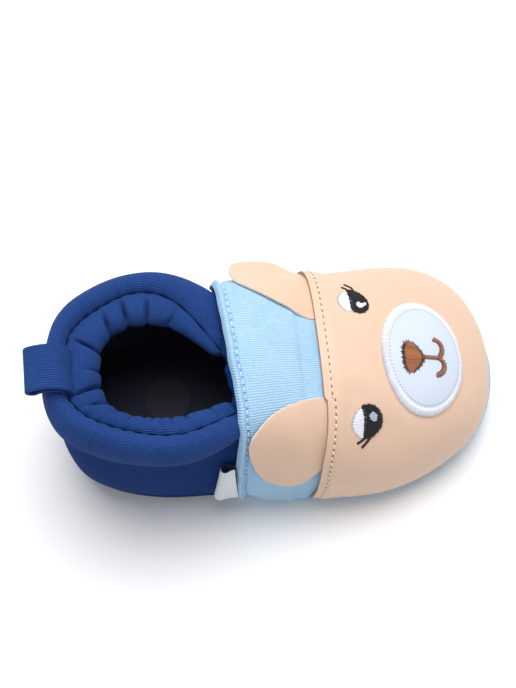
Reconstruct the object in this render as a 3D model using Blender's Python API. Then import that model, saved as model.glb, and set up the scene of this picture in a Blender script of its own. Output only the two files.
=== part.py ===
"""Soft baby bootie with an animal face: one right shoe, empty, standing on its sole.

The frame has +X towards the toe, +Y towards the wearer's left and +Z up, in metres.
The origin lies on the floor under the middle of the sole.
"""

import math

import bmesh
import bpy
import numpy as np
from mathutils import Vector
from mathutils.bvhtree import BVHTree

MM = 0.001
GAP = 0.3 * MM

# Driving dimensions of the shoe
SOLE_LENGTH = 120 * MM
BALL_WIDTH = 57.5 * MM
INSTEP_HEIGHT = 48 * MM
TOE_SPRING = 2.5 * MM

# Thickness of each layer
SOLE_THICKNESS = 3.0 * MM
INSOLE_THICKNESS = 3.0 * MM
WALL = 3.0 * MM
VAMP_THICKNESS = 1.1 * MM
PANEL_THICKNESS = 0.9 * MM
PATCH_THICKNESS = 0.7 * MM

# How far each layer's inner and outer face stand off the last. Facets sag a little between their points.
FACET_SAG = 0.15 * MM
VAMP_LIFT = GAP + FACET_SAG
VAMP_TOP = VAMP_LIFT + VAMP_THICKNESS
PANEL_LIFT = VAMP_TOP + GAP + FACET_SAG
PANEL_TOP = PANEL_LIFT + PANEL_THICKNESS

# Turn at which the vamp ends, on both sides
VAMP_EDGE_TURN = 98.0

# Shares of the shoe's own measures that shape its surface
SPRING_START = 0.20  # of SOLE_LENGTH, from its middle to where the toe spring starts
LEVEL_RISE = 0.15  # of a meridian, over which layers stack level at the sole seam
SHORT_REACH = 12 * MM  # a meridian with less sideways reach than this leaves the rim straight out

# The last, in rows round the sole from the toe to the heel. Each row is one meridian, which rises from
# the sole seam to the rim of the opening.
#   turn       degrees round the sole, 0 at the toe and 180 at the heel
#   along      foot of the meridian, as a share of SOLE_LENGTH from the heel
#   half       foot's distance from the centre line, as a share of half of BALL_WIDTH
#   swing      sideways shift of the row towards the big toe, as a share of half of BALL_WIDTH
#   rim_along  rim of the opening, as a share of SOLE_LENGTH from the heel
#   rim_half   rim's distance from the centre line, as a share of half of BALL_WIDTH
#   rim_swing  sideways shift of the rim towards the big toe, as a share of half of BALL_WIDTH
#   rim_rise   rim's height over the sole, as a share of INSTEP_HEIGHT
#   foot_pull  how long the wall keeps its first direction, as a share of INSTEP_HEIGHT
#   foot_lean  first direction of the wall, in degrees over the floor
#   rim_pull   how long the wall keeps its last direction, as a share of INSTEP_HEIGHT
#   rim_fall   last direction of the wall, in degrees under the horizon, seen from the rim
LAST_COLUMNS = (
    "turn", "along", "half", "swing", "rim_along", "rim_half", "rim_swing", "rim_rise",
    "foot_pull", "foot_lean", "rim_pull", "rim_fall",
)  # fmt: skip
LAST_ROWS = (
    (0, 1.000, 0.000, 0.05, 0.397, 0.000, 0.00, 0.940, 0.46, 80, 0.83, 13),
    (25, 0.955, 0.630, 0.05, 0.397, 0.230, 0.00, 0.930, 0.48, 75, 0.79, 14),
    (50, 0.825, 0.940, 0.02, 0.396, 0.470, 0.00, 0.910, 0.48, 71, 0.69, 18),
    (72, 0.650, 0.970, -0.01, 0.395, 0.640, 0.00, 0.870, 0.44, 72, 0.54, 32),
    (84, 0.515, 0.945, -0.01, 0.394, 0.700, -0.01, 0.840, 0.39, 73, 0.42, 48),
    (95, 0.415, 0.920, 0.00, 0.392, 0.735, -0.02, 0.800, 0.34, 74, 0.31, 66),
    (103, 0.355, 0.905, 0.00, 0.373, 0.765, -0.03, 0.765, 0.32, 74, 0.25, 78),
    (111, 0.300, 0.895, 0.00, 0.320, 0.805, -0.04, 0.745, 0.31, 74, 0.22, 84),
    (120, 0.240, 0.885, 0.00, 0.255, 0.835, -0.05, 0.730, 0.31, 74, 0.21, 87),
    (140, 0.120, 0.785, 0.00, 0.130, 0.755, -0.06, 0.710, 0.31, 74, 0.21, 88),
    (160, 0.032, 0.535, 0.00, 0.038, 0.500, -0.06, 0.710, 0.31, 74, 0.21, 88),
    (180, 0.000, 0.000, 0.00, 0.000, 0.000, -0.06, 0.720, 0.31, 74, 0.21, 88),
)

COLOURS = {
    "royal_jersey": ((0.015, 0.065, 0.330), 0.85),
    "sky_jersey": ((0.330, 0.610, 0.860), 0.85),
    "peach_leather": ((0.860, 0.600, 0.440), 0.45),
    "pale_leather": ((0.760, 0.830, 0.920), 0.45),
    "navy_lining": ((0.008, 0.012, 0.035), 0.90),
    "sky_sole": ((0.300, 0.560, 0.800), 0.80),
    "white_ribbon": ((0.800, 0.820, 0.860), 0.75),
}


def clear_scene():
    for old in list(bpy.data.objects):
        bpy.data.objects.remove(old)


def material(name):
    colour, roughness = COLOURS[name]
    made = bpy.data.materials.get(name) or bpy.data.materials.new(name)
    made.use_nodes = True
    shader = made.node_tree.nodes["Principled BSDF"]
    shader.inputs["Base Color"].default_value = (*colour, 1)
    shader.inputs["Roughness"].default_value = roughness
    shader.inputs["Metallic"].default_value = 0.0
    return made


# The last's surface


def closed_spline(knots, values, period):
    """Second derivatives, at the knots, of the smooth closed curve through these values."""
    count = len(knots)
    steps = np.diff(np.append(knots, knots[0] + period))
    matrix = np.zeros((count, count))
    bends = np.zeros_like(values)
    for i in range(count):
        before, after, following = steps[i - 1], steps[i], (i + 1) % count
        matrix[i, i - 1] += before
        matrix[i, i] += 2 * (before + after)
        matrix[i, following] += after
        bends[i] = 6 * ((values[following] - values[i]) / after - (values[i] - values[i - 1]) / before)
    return np.linalg.solve(matrix, bends)


def whole_ring():
    """The last's rows on both sides of the foot, by turn: knots, and one row of signed values for each."""
    ring = []
    for row in LAST_ROWS:
        row = dict(zip(LAST_COLUMNS, row))
        for side in (1, -1):
            turn = side * row["turn"]
            if side < 0 and row["turn"] in (0, 180):
                continue
            foot = row["swing"] + side * row["half"]
            rim = row["rim_swing"] + side * row["rim_half"]
            ring.append((
                turn, row["along"], foot, row["rim_along"], rim, row["rim_rise"],
                row["foot_pull"], row["foot_lean"], row["rim_pull"], row["rim_fall"],
            ))  # fmt: skip
    table = np.array(sorted(ring))
    return table[:, 0], table[:, 1:]


KNOTS, RING = whole_ring()
BENDS = closed_spline(KNOTS, RING, 360.0)


def ring_values(turn):
    """Every column of the last at these turns, one array for each column."""
    turn = (np.asarray(turn, float) - KNOTS[0]) % 360 + KNOTS[0]
    low = np.searchsorted(KNOTS, turn, side="right") - 1
    high = (low + 1) % len(KNOTS)
    step = (KNOTS[high] - KNOTS[low]) % 360
    b = ((turn - KNOTS[low]) / step)[..., None]
    a = 1 - b
    step = step[..., None]
    smooth = ((a**3 - a) * BENDS[low] + (b**3 - b) * BENDS[high]) * step**2 / 6
    return np.moveaxis(a * RING[low] + b * RING[high] + smooth, -1, 0)


def along_to_x(along):
    return (along - 0.5) * SOLE_LENGTH


def ground(x):
    """Height of the sole's underside at this distance along the shoe: flat, then the toe spring."""
    start = SPRING_START * SOLE_LENGTH
    share = np.clip((x - start) / (0.5 * SOLE_LENGTH - start), 0, 1)
    return TOE_SPRING * share**2


def foot_line(turn):
    """Points of the sole seam and the outward direction there, both in the floor's plane."""
    nudge = 0.05
    points = []
    for at in (turn - nudge, turn, turn + nudge):
        along, side = ring_values(at)[:2]
        points.append(np.stack([along_to_x(along), side * BALL_WIDTH / 2], -1))
    tangent = points[2] - points[0]
    outward = np.stack([tangent[..., 1], -tangent[..., 0]], -1)
    return points[1], outward / np.linalg.norm(outward, axis=-1, keepdims=True)


def with_height(flat, height):
    return np.concatenate([flat, np.broadcast_to(height, flat.shape[:-1])[..., None]], -1)


def last_point(turn, rise):
    """Points of the upper's outside: turn goes round the sole, rise from 0 at the seam to 1 at the rim."""
    turn, rise = np.broadcast_arrays(np.asarray(turn, float), np.asarray(rise, float))
    _, _, rim_along, rim_side, rim_rise, foot_pull, foot_lean, rim_pull, rim_fall = ring_values(turn)
    foot, outward = foot_line(turn)
    rim = np.stack([along_to_x(rim_along), rim_side * BALL_WIDTH / 2], -1)
    reach = foot - rim
    length = np.linalg.norm(reach, axis=-1, keepdims=True)
    share = np.clip(length / SHORT_REACH, 0, 1)
    towards_foot = share * reach / np.maximum(length, 1e-9) + (1 - share) * outward
    towards_foot = towards_foot / np.linalg.norm(towards_foot, axis=-1, keepdims=True)
    lean, fall = np.radians(foot_lean)[..., None], np.radians(rim_fall)[..., None]
    base = SOLE_THICKNESS + GAP + ground(foot[..., 0])
    start = with_height(foot, base)
    end = with_height(rim, SOLE_THICKNESS + rim_rise * INSTEP_HEIGHT)
    up = foot_pull[..., None] * INSTEP_HEIGHT
    down = rim_pull[..., None] * INSTEP_HEIGHT
    first = start + up * np.concatenate([outward * np.cos(lean), np.sin(lean)], -1)
    last = end + down * np.concatenate([towards_foot * np.cos(fall), -np.sin(fall)], -1)
    v = rise[..., None]
    u = 1 - v
    return u**3 * start + 3 * u**2 * v * first + 3 * u * v**2 * last + v**3 * end


def last_normal(turn, rise):
    """Outward direction of the upper's outside. It is level at the sole seam."""
    nudge = 1e-3
    turn, rise = np.broadcast_arrays(np.asarray(turn, float), np.asarray(rise, float))
    round_shoe = last_point(turn + 1, rise) - last_point(turn - 1, rise)
    up_wall = last_point(turn, rise + nudge) - last_point(turn, np.maximum(rise - nudge, 0))
    normal = np.cross(round_shoe, up_wall)
    normal[..., 2] *= np.clip(rise / LEVEL_RISE, 0, 1)
    return normal / np.linalg.norm(normal, axis=-1, keepdims=True)


def skin(turn, rise, lift):
    """Points that stand this far off the last. Near the sole they keep their height over its top."""
    turn, rise, lift = np.broadcast_arrays(*(np.asarray(a, float) for a in (turn, rise, lift)))
    on_last = last_point(turn, rise)
    moved = on_last + last_normal(turn, rise) * lift[..., None]
    near_sole = np.clip(1 - rise / LEVEL_RISE, 0, 1)
    moved[..., 2] += near_sole * (ground(moved[..., 0]) - ground(on_last[..., 0]))
    return moved


# Solids from grids and rings of points

SHARP_ANGLE = 50


def add_object(name, mesh_data, finish):
    bmesh.ops.remove_doubles(mesh_data, verts=mesh_data.verts[:], dist=1e-6)
    bmesh.ops.recalc_face_normals(mesh_data, faces=mesh_data.faces[:])
    mesh = bpy.data.meshes.new(name)
    mesh_data.to_mesh(mesh)
    mesh_data.free()
    mesh.shade_smooth()
    mesh.set_sharp_from_angle(angle=math.radians(SHARP_ANGLE))
    mesh.materials.append(material(finish))
    made = bpy.data.objects.new(name, mesh)
    bpy.context.scene.collection.objects.link(made)


def add_points(mesh_data, grid):
    return [[mesh_data.verts.new(p) for p in line] for line in grid]


def grid_solid(name, outer, inner, finish, closed=False):
    """A closed wall between two grids of points of one size; closed joins the last column to the first."""
    columns, rows = outer.shape[:2]
    mesh_data = bmesh.new()
    front, back = add_points(mesh_data, outer), add_points(mesh_data, inner)
    new_face = mesh_data.faces.new
    for i in range(columns if closed else columns - 1):
        j = (i + 1) % columns
        for k in range(rows - 1):
            new_face((front[i][k], front[j][k], front[j][k + 1], front[i][k + 1]))
            new_face((back[i][k + 1], back[j][k + 1], back[j][k], back[i][k]))
        new_face((back[i][0], back[j][0], front[j][0], front[i][0]))
        new_face((front[i][-1], front[j][-1], back[j][-1], back[i][-1]))
    if not closed:
        for k in range(rows - 1):
            new_face((back[0][k], front[0][k], front[0][k + 1], back[0][k + 1]))
            new_face((front[-1][k], back[-1][k], back[-1][k + 1], front[-1][k + 1]))
    add_object(name, mesh_data, finish)


def join_rings(mesh_data, rings):
    lines = add_points(mesh_data, rings)
    count = len(lines[0])
    for before, after in zip(lines, lines[1:]):
        for k in range(count):
            n = (k + 1) % count
            mesh_data.faces.new((before[k], before[n], after[n], after[k]))
    return lines


def sweep_solid(name, rings, finish):
    """A closed solid through flat rings of points of one size, capped at both ends."""
    mesh_data = bmesh.new()
    lines = join_rings(mesh_data, rings)
    mesh_data.faces.new(lines[0][::-1])
    mesh_data.faces.new(lines[-1])
    add_object(name, mesh_data, finish)


def plate_solid(name, rings, finish):
    """As sweep_solid, for outlines round the sole: each cap is a ladder with rungs across the shoe."""
    mesh_data = bmesh.new()
    lines = join_rings(mesh_data, rings)
    half = len(lines[0]) // 2
    for line in (lines[0], lines[-1]):
        for i in range(half):
            right = (line[half + i], line[(half + i + 1) % (2 * half)])
            left = (line[half - i - 1], line[half - i])
            mesh_data.faces.new(tuple(dict.fromkeys(right + left)))
    add_object(name, mesh_data, finish)


# Sole and insole

SOLE_TURNS = np.linspace(-180, 180, 73)[:-1]
SOLE_EDGE = {"toe": 3.6 * MM, "ball": 2.8 * MM, "waist": 1.7 * MM, "heel": 0.2 * MM}
SOLE_ROUNDING = 1.2 * MM
INSOLE_ROUNDING = 0.8 * MM
INSOLE_CLEARANCE = 0.5 * MM
HEEL_EDGE_TURN = VAMP_EDGE_TURN + 12


def sole_margin(turn):
    """How far the sole's edge stands out past the seam: under the layers in front, close in at the heel."""
    stops = (0, 50, 75, 90, HEEL_EDGE_TURN)
    edges = ("toe", "ball", "ball", "waist", "heel")
    return np.interp(np.abs(turn), stops, [SOLE_EDGE[edge] for edge in edges])


def plate_rings(profile, margin):
    """Outlines of a plate, from its underside up: each ring has an inset and a height over the ground."""
    foot, outward = foot_line(SOLE_TURNS)
    rings = []
    for inset, height in profile:
        flat = foot + outward * (margin - inset)[:, None]
        rings.append(with_height(flat, height + ground(flat[:, 0])))
    return rings


def make_outsole():
    profile = (
        (2.0 * SOLE_ROUNDING, 0.0),
        (0.6 * SOLE_ROUNDING, 0.25 * SOLE_ROUNDING),
        (0.0, SOLE_ROUNDING),
        (0.0, SOLE_THICKNESS - 0.4 * SOLE_ROUNDING),
        (0.4 * SOLE_ROUNDING, SOLE_THICKNESS),
    )
    plate_solid("outsole", plate_rings(profile, sole_margin(SOLE_TURNS)), "sky_sole")


def make_insole():
    low = SOLE_THICKNESS + GAP
    high = low + INSOLE_THICKNESS
    profile = ((0.0, low), (0.0, high - INSOLE_ROUNDING), (INSOLE_ROUNDING, high))
    inside = np.full(len(SOLE_TURNS), -WALL - INSOLE_CLEARANCE)
    plate_solid("insole", plate_rings(profile, inside), "navy_lining")


# Upper and its overlays

COLUMN_STEP = 6
UPPER_TURNS = np.arange(-180, 180, COLUMN_STEP)
UPPER_RISES = np.linspace(0, 1, 11)
HEM_WIDTH = 4.5 * MM
HEM_RAISE = 0.9 * MM
HEM_OVERHANG = 1.2 * MM
HEM_TURNS = (0.0, 1.2, 4.0, 6.5, 9.0)  # degrees in from the vamp's edge
HEM_ROWS = (1.5, 1.0, 0.7, 0.3, 0.1, 0.0)  # depths under the throat, as shares of HEM_WIDTH
HEM_SLOPE = 0.3  # share of HEM_WIDTH over which the hem rises, and falls to its stitches
BETWEEN_HEMS = 80
SEAM_X = 10.5 * MM
SEAM_SWEEP = 5.5 * MM
SEAM_CURVE = 4
PANEL_CORNER = (30.0, 110.0)  # turns between which the panel's lower corners are looked for


def make_upper():
    turn, rise = np.meshgrid(UPPER_TURNS, UPPER_RISES, indexing="ij")
    grid_solid("upper", skin(turn, rise, 0), skin(turn, rise, -WALL), "royal_jersey", closed=True)


def vamp_grid():
    """Turns and rises of the vamp. It reaches past the rim by HEM_OVERHANG and is finer in its hem."""
    edge = VAMP_EDGE_TURN - np.array(HEM_TURNS)
    turns = np.concatenate([-edge, np.linspace(-BETWEEN_HEMS, BETWEEN_HEMS, 25), edge[::-1]])
    rim_pull = ring_values(turns)[7]
    rise_per_metre = 1 / (3 * rim_pull * INSTEP_HEIGHT)
    below_edge = HEM_WIDTH * np.array(HEM_ROWS)
    rises = 1 + (HEM_OVERHANG - below_edge) * rise_per_metre[:, None]
    body = np.linspace(0, 1, 12)[:-1] * rises[:, :1]
    rise = np.concatenate([body, rises], axis=1)
    return np.broadcast_to(turns[:, None], rise.shape), rise


def hem_lift(turn, rise):
    """Extra height of the folded hem along the vamp's back edge, over the throat and down both sides."""
    here = last_point(turn, rise)
    to_rim = np.linalg.norm(here - last_point(turn, rise[:, -1:]), axis=-1)
    to_side = np.linalg.norm(here - last_point(np.where(turn < 0, -1, 1) * VAMP_EDGE_TURN, rise), axis=-1)
    depth = np.minimum(to_rim, to_side) / HEM_WIDTH
    from_edge = np.clip(depth / HEM_SLOPE, 0, 1)
    to_stitches = np.clip((1 - depth) / HEM_SLOPE, 0, 1)
    return HEM_RAISE * np.sqrt(1 - (1 - from_edge) ** 2) * to_stitches


def make_vamp():
    turn, rise = vamp_grid()
    outer = skin(turn, rise, VAMP_TOP + hem_lift(turn, rise))
    grid_solid("vamp", outer, skin(turn, rise, VAMP_LIFT), "sky_jersey")


def halve(low, high, in_front):
    """The place between low and high, number by number, where in_front stops being true."""
    for _ in range(40):
        middle = (low + high) / 2
        found = in_front(middle)
        low, high = np.where(found, middle, low), np.where(found, high, middle)
    return low


def seam_x(height):
    """The seam behind the face panel, at this height: it sweeps back near the sole."""
    return SEAM_X - SEAM_SWEEP * np.clip(1 - height / INSTEP_HEIGHT, 0, 1) ** SEAM_CURVE


def before_seam(turn, rise):
    points = last_point(turn, rise)
    return points[..., 0] > seam_x(points[..., 2])


def panel_grid():
    """Turns and rises of the face panel, whose back edge is the seam."""
    sides = np.array([1.0, -1.0])
    low, high = (np.full(2, turn) for turn in PANEL_CORNER)
    corner = halve(low, high, lambda turn: before_seam(sides * turn, 0))
    shares = np.concatenate([np.linspace(0, 0.9, 15), [0.94, 0.97, 0.99, 1.0]])
    turns = np.concatenate([-corner[1] * shares[::-1], (corner[0] * shares)[1:]])
    none = np.zeros_like(turns)
    reach = halve(none, none + 1, lambda rise: before_seam(turns, rise))
    turn, share = np.meshgrid(turns, np.linspace(0, 1, 12), indexing="ij")
    return turn, share * reach[:, None]


def make_face_panel():
    turn, rise = panel_grid()
    grid_solid("face_panel", skin(turn, rise, PANEL_TOP), skin(turn, rise, PANEL_LIFT), "peach_leather")


def grid_tree(points):
    """A search tree over the quads of a grid of points, for laying other pieces on that surface."""
    columns, rows = points.shape[:2]
    quads = [
        (i * rows + k, (i + 1) * rows + k, (i + 1) * rows + k + 1, i * rows + k + 1)
        for i in range(columns - 1)
        for k in range(rows - 1)
    ]
    return BVHTree.FromPolygons([Vector(p) for p in points.reshape(-1, 3)], quads)


# Muzzle patch

MUZZLE = {"turn": -6.0, "rise": 0.50, "length": 25.5 * MM, "width": 32 * MM}
LAID_GAP = 0.4 * MM
RAY_START = 20 * MM


def make_muzzle():
    tree = grid_tree(skin(*panel_grid(), PANEL_TOP))
    centre = Vector(skin(MUZZLE["turn"], MUZZLE["rise"], PANEL_TOP))
    normal = Vector(last_normal(MUZZLE["turn"], MUZZLE["rise"]))
    across = (Vector((0, 1, 0)) - normal * normal.y).normalized()
    along = across.cross(normal)
    angles = np.radians(np.arange(0, 360, 11.25))
    shares = np.linspace(0, 1, 6)
    laid = np.zeros((len(angles), len(shares), 3))
    for i, angle in enumerate(angles):
        spoke = along * math.cos(angle) * MUZZLE["length"] / 2
        spoke += across * math.sin(angle) * MUZZLE["width"] / 2
        for k, share in enumerate(shares):
            laid[i, k] = tree.ray_cast(centre + spoke * share + normal * RAY_START, -normal)[0]
    under = laid + np.array(normal) * LAID_GAP
    over = under + np.array(normal) * PATCH_THICKNESS
    grid_solid("muzzle_patch", over, under, "pale_leather", closed=True)


# Ears, laid on the vamp by their distance behind the seam and their angle round the instep
#   side      sign of the angle, 1 towards the wearer's right
#   angle     middle of the root, in degrees from straight up
#   length    from the root to the tip
#   width     along the root
#   lift      slope of the flap off the vamp, in degrees
#   drop      how far the tip hangs below the root's middle

EAR_COLUMNS = ("name", "side", "angle", "length", "width", "lift", "drop")
EAR_ROWS = (
    ("ear_left", -1, 40, 19.5 * MM, 22 * MM, 13, 0 * MM),
    ("ear_right", 1, 51, 19.5 * MM, 25 * MM, 3, 1 * MM),
)
EAR_THICKNESS = 1.5 * MM
EAR_ROUNDNESS = 2.3
EAR_ROOT_GAP = 0.6 * MM
EAR_BACK_LIMIT = -6.0 * MM
INSTEP_AXIS_Z = 16 * MM


def make_ear(ear, tree):
    across = np.sin(np.radians(np.linspace(-90, 90, 17)))
    outwards = np.linspace(0, 1, 8)
    faces = np.zeros((2, len(across), len(outwards), 3))
    for i, u in enumerate(across):
        reach = ear["length"] * (1 - abs(u) ** EAR_ROUNDNESS) ** (1 / EAR_ROUNDNESS)
        for k, share in enumerate(outwards):
            flat = reach * share
            back = flat * math.cos(math.radians(ear["lift"]))
            drop = ear["drop"] * (flat / ear["length"]) ** 2
            radius = INSTEP_HEIGHT - INSTEP_AXIS_Z
            angle = math.radians(ear["angle"]) + (u * ear["width"] / 2 + drop) / radius
            ray = Vector((0, -ear["side"] * math.sin(angle), math.cos(angle)))
            at_seam = tree.ray_cast(Vector((SEAM_X, 0, INSTEP_AXIS_Z)), ray)[0]
            x = seam_x(at_seam.z) - EAR_ROOT_GAP - back
            hit = tree.ray_cast(Vector((max(x, EAR_BACK_LIMIT), 0, INSTEP_AXIS_Z)), ray)[0]
            hit.x = x
            lift = LAID_GAP + flat * math.sin(math.radians(ear["lift"]))
            for face, more in enumerate((EAR_THICKNESS, 0)):
                faces[face, i, k] = hit + ray * (lift + more)
    grid_solid(ear["name"], faces[0], faces[1], "peach_leather")


def make_ears():
    turn, rise = vamp_grid()
    tree = grid_tree(skin(turn, rise, VAMP_TOP + hem_lift(turn, rise)))
    for row in EAR_ROWS:
        make_ear(dict(zip(EAR_COLUMNS, row)), tree)


# Collar

COLLAR_START = 102
COLLAR_TURNS = np.arange(COLLAR_START, 361 - COLLAR_START, COLUMN_STEP)
COLLAR_TUCK = 2.0 * MM
COLLAR_HEIGHT = {"back": 16.0 * MM, "ends": 8.0 * MM}

# The two rounds of the collar's cross-section
#   out     centre, outwards from the rim of the upper
#   up      centre's height, as a share of the collar's height
#   radius  half of the width
#   half    half of the height, as a share of the collar's height
COLLAR_ROLL = {"out": -0.8 * MM, "up": 0.50, "radius": 4.6 * MM, "half": 0.50}
COLLAR_CASING = {"out": -7.2 * MM, "up": 0.66, "radius": 4.4 * MM, "half": 0.24}
COLLAR_INSIDE = ((-3.8 * MM, 0.30), (-WALL, 0.02))  # out and up of the inner wall's two corners


def arc(oval, start, end, count):
    """Points of an oval's arc, angles in degrees."""
    angles = np.radians(np.linspace(start, end, count))
    out = oval["out"] + oval["radius"] * np.cos(angles)
    up = oval["up"] + oval["half"] * np.sin(angles)
    return np.stack([out, up], -1)


def collar_profile(height):
    """One cross-section, out and up from the rim: a padded roll, then the gathered casing."""
    roll = arc(COLLAR_ROLL, -75, 130, 11)
    casing = arc(COLLAR_CASING, 45, 262, 9)
    return np.concatenate([roll, casing, COLLAR_INSIDE]) * (1, height)


def over_rim(turn, profile):
    """Points over the rim of the upper, from distances outwards and up."""
    rim = last_point(turn, 1)
    outward = foot_line(np.asarray(turn, float))[1]
    flat = rim[:2] + profile[:, :1] * outward
    return with_height(flat, rim[2] + GAP + profile[:, 1])


def collar_ring(turn):
    """The cross-section at this turn. Towards its ends the collar is lower and tucks in by the vamp."""
    to_end = abs(turn - 180) / (180 - COLLAR_START)
    height = COLLAR_HEIGHT["back"] + (COLLAR_HEIGHT["ends"] - COLLAR_HEIGHT["back"]) * to_end**3
    return over_rim(turn, collar_profile(height) - np.array([COLLAR_TUCK * to_end**4, 0]))


def make_collar():
    sweep_solid("collar", [collar_ring(turn) for turn in COLLAR_TURNS], "royal_jersey")


# Folded bands

LOOP = {"width": 12.4 * MM, "thickness": 1.2 * MM, "root_gap": 0.4 * MM, "fold_gap": 1.8 * MM}
LOOP_ROUTE = ((-4.6 * MM, 0.3 * MM), (-2.2 * MM, 3.4 * MM), (1.5 * MM, 3.6 * MM), (4.6 * MM, 1.4 * MM))
TAG = {"rise": (0.28, 0.62), "turns": 7.0, "root": 0.6 * MM}
TAG.update({"thickness": 0.4 * MM, "root_gap": 0.3 * MM, "fold_gap": 1.4 * MM})
FOLD_ARC = 72


def bezier(points, share):
    share = np.asarray(share)[:, None]
    rest = 1 - share
    a, b, c, d = (np.array(p) for p in points)
    return rest**3 * a + 3 * rest**2 * share * b + 3 * rest * share**2 * c + share**3 * d


def folded_band(middle, band):
    """Outline of a band folded in two about the line of points middle, whose last point is at the fold."""
    step = np.gradient(middle, axis=0)
    step = step / np.linalg.norm(step, axis=1, keepdims=True)
    side = np.stack([-step[:, 1], step[:, 0]], -1)
    share = np.linspace(0, 1, len(middle))[:, None]
    gap = (band["root_gap"] + (band["fold_gap"] - band["root_gap"]) * share**2) / 2
    turn = np.radians(np.linspace(FOLD_ARC, -FOLD_ARC, 5))[:, None]
    legs = []
    for radius in (gap + band["thickness"], gap):
        fold = middle[-1] + radius[-1] * (step[-1] * np.cos(turn) + side[-1] * np.sin(turn))
        legs.append(np.concatenate([middle + side * radius, fold, (middle - side * radius)[::-1]]))
    return np.concatenate([legs[0], legs[1][::-1]])


def make_pull_loop():
    """The loop's route over the collar is given outwards from the rim and up from the collar's top."""
    route = np.array(LOOP_ROUTE) + (0, COLLAR_HEIGHT["back"])
    outline = folded_band(bezier(route, np.linspace(0, 1, 9)), LOOP)
    ring = over_rim(180, outline)
    across = np.array([0, LOOP["width"] / 2, 0])
    sweep_solid("pull_loop", [ring - across, ring + across], "royal_jersey")


def make_tag():
    """The ribbon lies on the quarter, from the vamp's edge backwards."""
    low, high = TAG["rise"]
    ends = last_point(-VAMP_EDGE_TURN - np.array([0, TAG["turns"]]), low)
    degree = np.linalg.norm(ends[1] - ends[0]) / TAG["turns"]
    lift = GAP + TAG["thickness"] + TAG["fold_gap"] / 2
    back = np.linspace(TAG["root"], TAG["turns"] * degree, 6)
    outline = folded_band(np.stack([back, np.full_like(back, lift)], -1), TAG)
    turn = -VAMP_EDGE_TURN - outline[:, 0] / degree
    rings = [skin(turn, rise, outline[:, 1]) for rise in np.linspace(low, high, 5)]
    sweep_solid("tag", rings, "white_ribbon")


def main():
    clear_scene()
    make_outsole()
    make_insole()
    make_upper()
    make_vamp()
    make_face_panel()
    make_muzzle()
    make_ears()
    make_collar()
    make_pull_loop()
    make_tag()


main()
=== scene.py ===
import math

import bpy
import numpy as np
from mathutils import Matrix, Vector
from mathutils.bvhtree import BVHTree
from mathutils.kdtree import KDTree


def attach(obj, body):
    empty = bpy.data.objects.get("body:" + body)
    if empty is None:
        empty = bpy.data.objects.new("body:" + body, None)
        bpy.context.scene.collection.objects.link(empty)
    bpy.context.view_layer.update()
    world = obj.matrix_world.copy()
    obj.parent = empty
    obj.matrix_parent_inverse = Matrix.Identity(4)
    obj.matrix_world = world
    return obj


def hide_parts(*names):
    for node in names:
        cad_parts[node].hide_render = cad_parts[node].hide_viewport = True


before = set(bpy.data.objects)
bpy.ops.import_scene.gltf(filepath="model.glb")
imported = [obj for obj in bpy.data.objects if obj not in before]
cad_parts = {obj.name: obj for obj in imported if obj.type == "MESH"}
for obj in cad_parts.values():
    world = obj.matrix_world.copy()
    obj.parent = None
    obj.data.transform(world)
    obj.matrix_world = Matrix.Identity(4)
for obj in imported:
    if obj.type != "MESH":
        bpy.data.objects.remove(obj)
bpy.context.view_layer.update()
mm = 0.001
print("frame loaded,", len(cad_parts), "nodes")


# The shoe's own measures, the same as in the solids
shoe = {
    "soleLength": 120 * mm,
    "ballWidth": 57.5 * mm,
    "instepHeight": 48 * mm,
    "toeSpring": 2.5 * mm,
    "springStart": 0.20,  # share of the sole's length, from its middle
    "soleThick": 3.0 * mm,
    "gap": 0.3 * mm,
    "levelRise": 0.15,  # layers stack level under this rise
    "shortReach": 12 * mm,
    "vampTop": 1.55 * mm,  # height of each layer's outside over the last
    "panelTop": 2.9 * mm,
    "seamX": 11.2 * mm,  # seam behind the face
    "seamSweep": 5.5 * mm,
    "seamCurve": 1.3,
    "seamHold": 9 * mm,  # under this height the seam goes straight down
    "seamRounding": 3 * mm,
    "toeLean": (22 * mm, 50 * mm, 2.8 * mm),  # the soft toe leans inwards: from x, to x, how far
    "instepAxis": 16 * mm,  # height of the line that angles round the instep are taken from
}

# One meridian a row, from the sole seam to the rim, at turns from the toe (0) to the heel (180)
lastColumns = (
    "turn", "along", "half", "swing", "rimAlong", "rimHalf", "rimSwing", "rimRise",
    "footPull", "footLean", "rimPull", "rimFall",
)
lastRows = (
    (0, 1.000, 0.000, 0.05, 0.397, 0.000, 0.00, 0.940, 0.46, 80, 0.83, 13),
    (25, 0.955, 0.630, 0.05, 0.397, 0.230, 0.00, 0.930, 0.48, 75, 0.79, 14),
    (50, 0.825, 0.940, 0.02, 0.396, 0.470, 0.00, 0.910, 0.48, 71, 0.69, 18),
    (72, 0.650, 0.970, -0.01, 0.395, 0.640, 0.00, 0.870, 0.44, 72, 0.54, 32),
    (84, 0.515, 0.945, -0.01, 0.394, 0.700, -0.01, 0.840, 0.39, 73, 0.42, 48),
    (95, 0.415, 0.920, 0.00, 0.392, 0.735, -0.02, 0.800, 0.34, 74, 0.31, 66),
    (103, 0.355, 0.905, 0.00, 0.373, 0.765, -0.03, 0.765, 0.32, 74, 0.25, 78),
    (111, 0.300, 0.895, 0.00, 0.320, 0.805, -0.04, 0.745, 0.31, 74, 0.22, 84),
    (120, 0.240, 0.885, 0.00, 0.255, 0.835, -0.05, 0.730, 0.31, 74, 0.21, 87),
    (140, 0.120, 0.785, 0.00, 0.130, 0.755, -0.06, 0.710, 0.31, 74, 0.21, 88),
    (160, 0.032, 0.535, 0.00, 0.038, 0.500, -0.06, 0.710, 0.31, 74, 0.21, 88),
    (180, 0.000, 0.000, 0.00, 0.000, 0.000, -0.06, 0.720, 0.31, 74, 0.21, 88),
)
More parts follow.
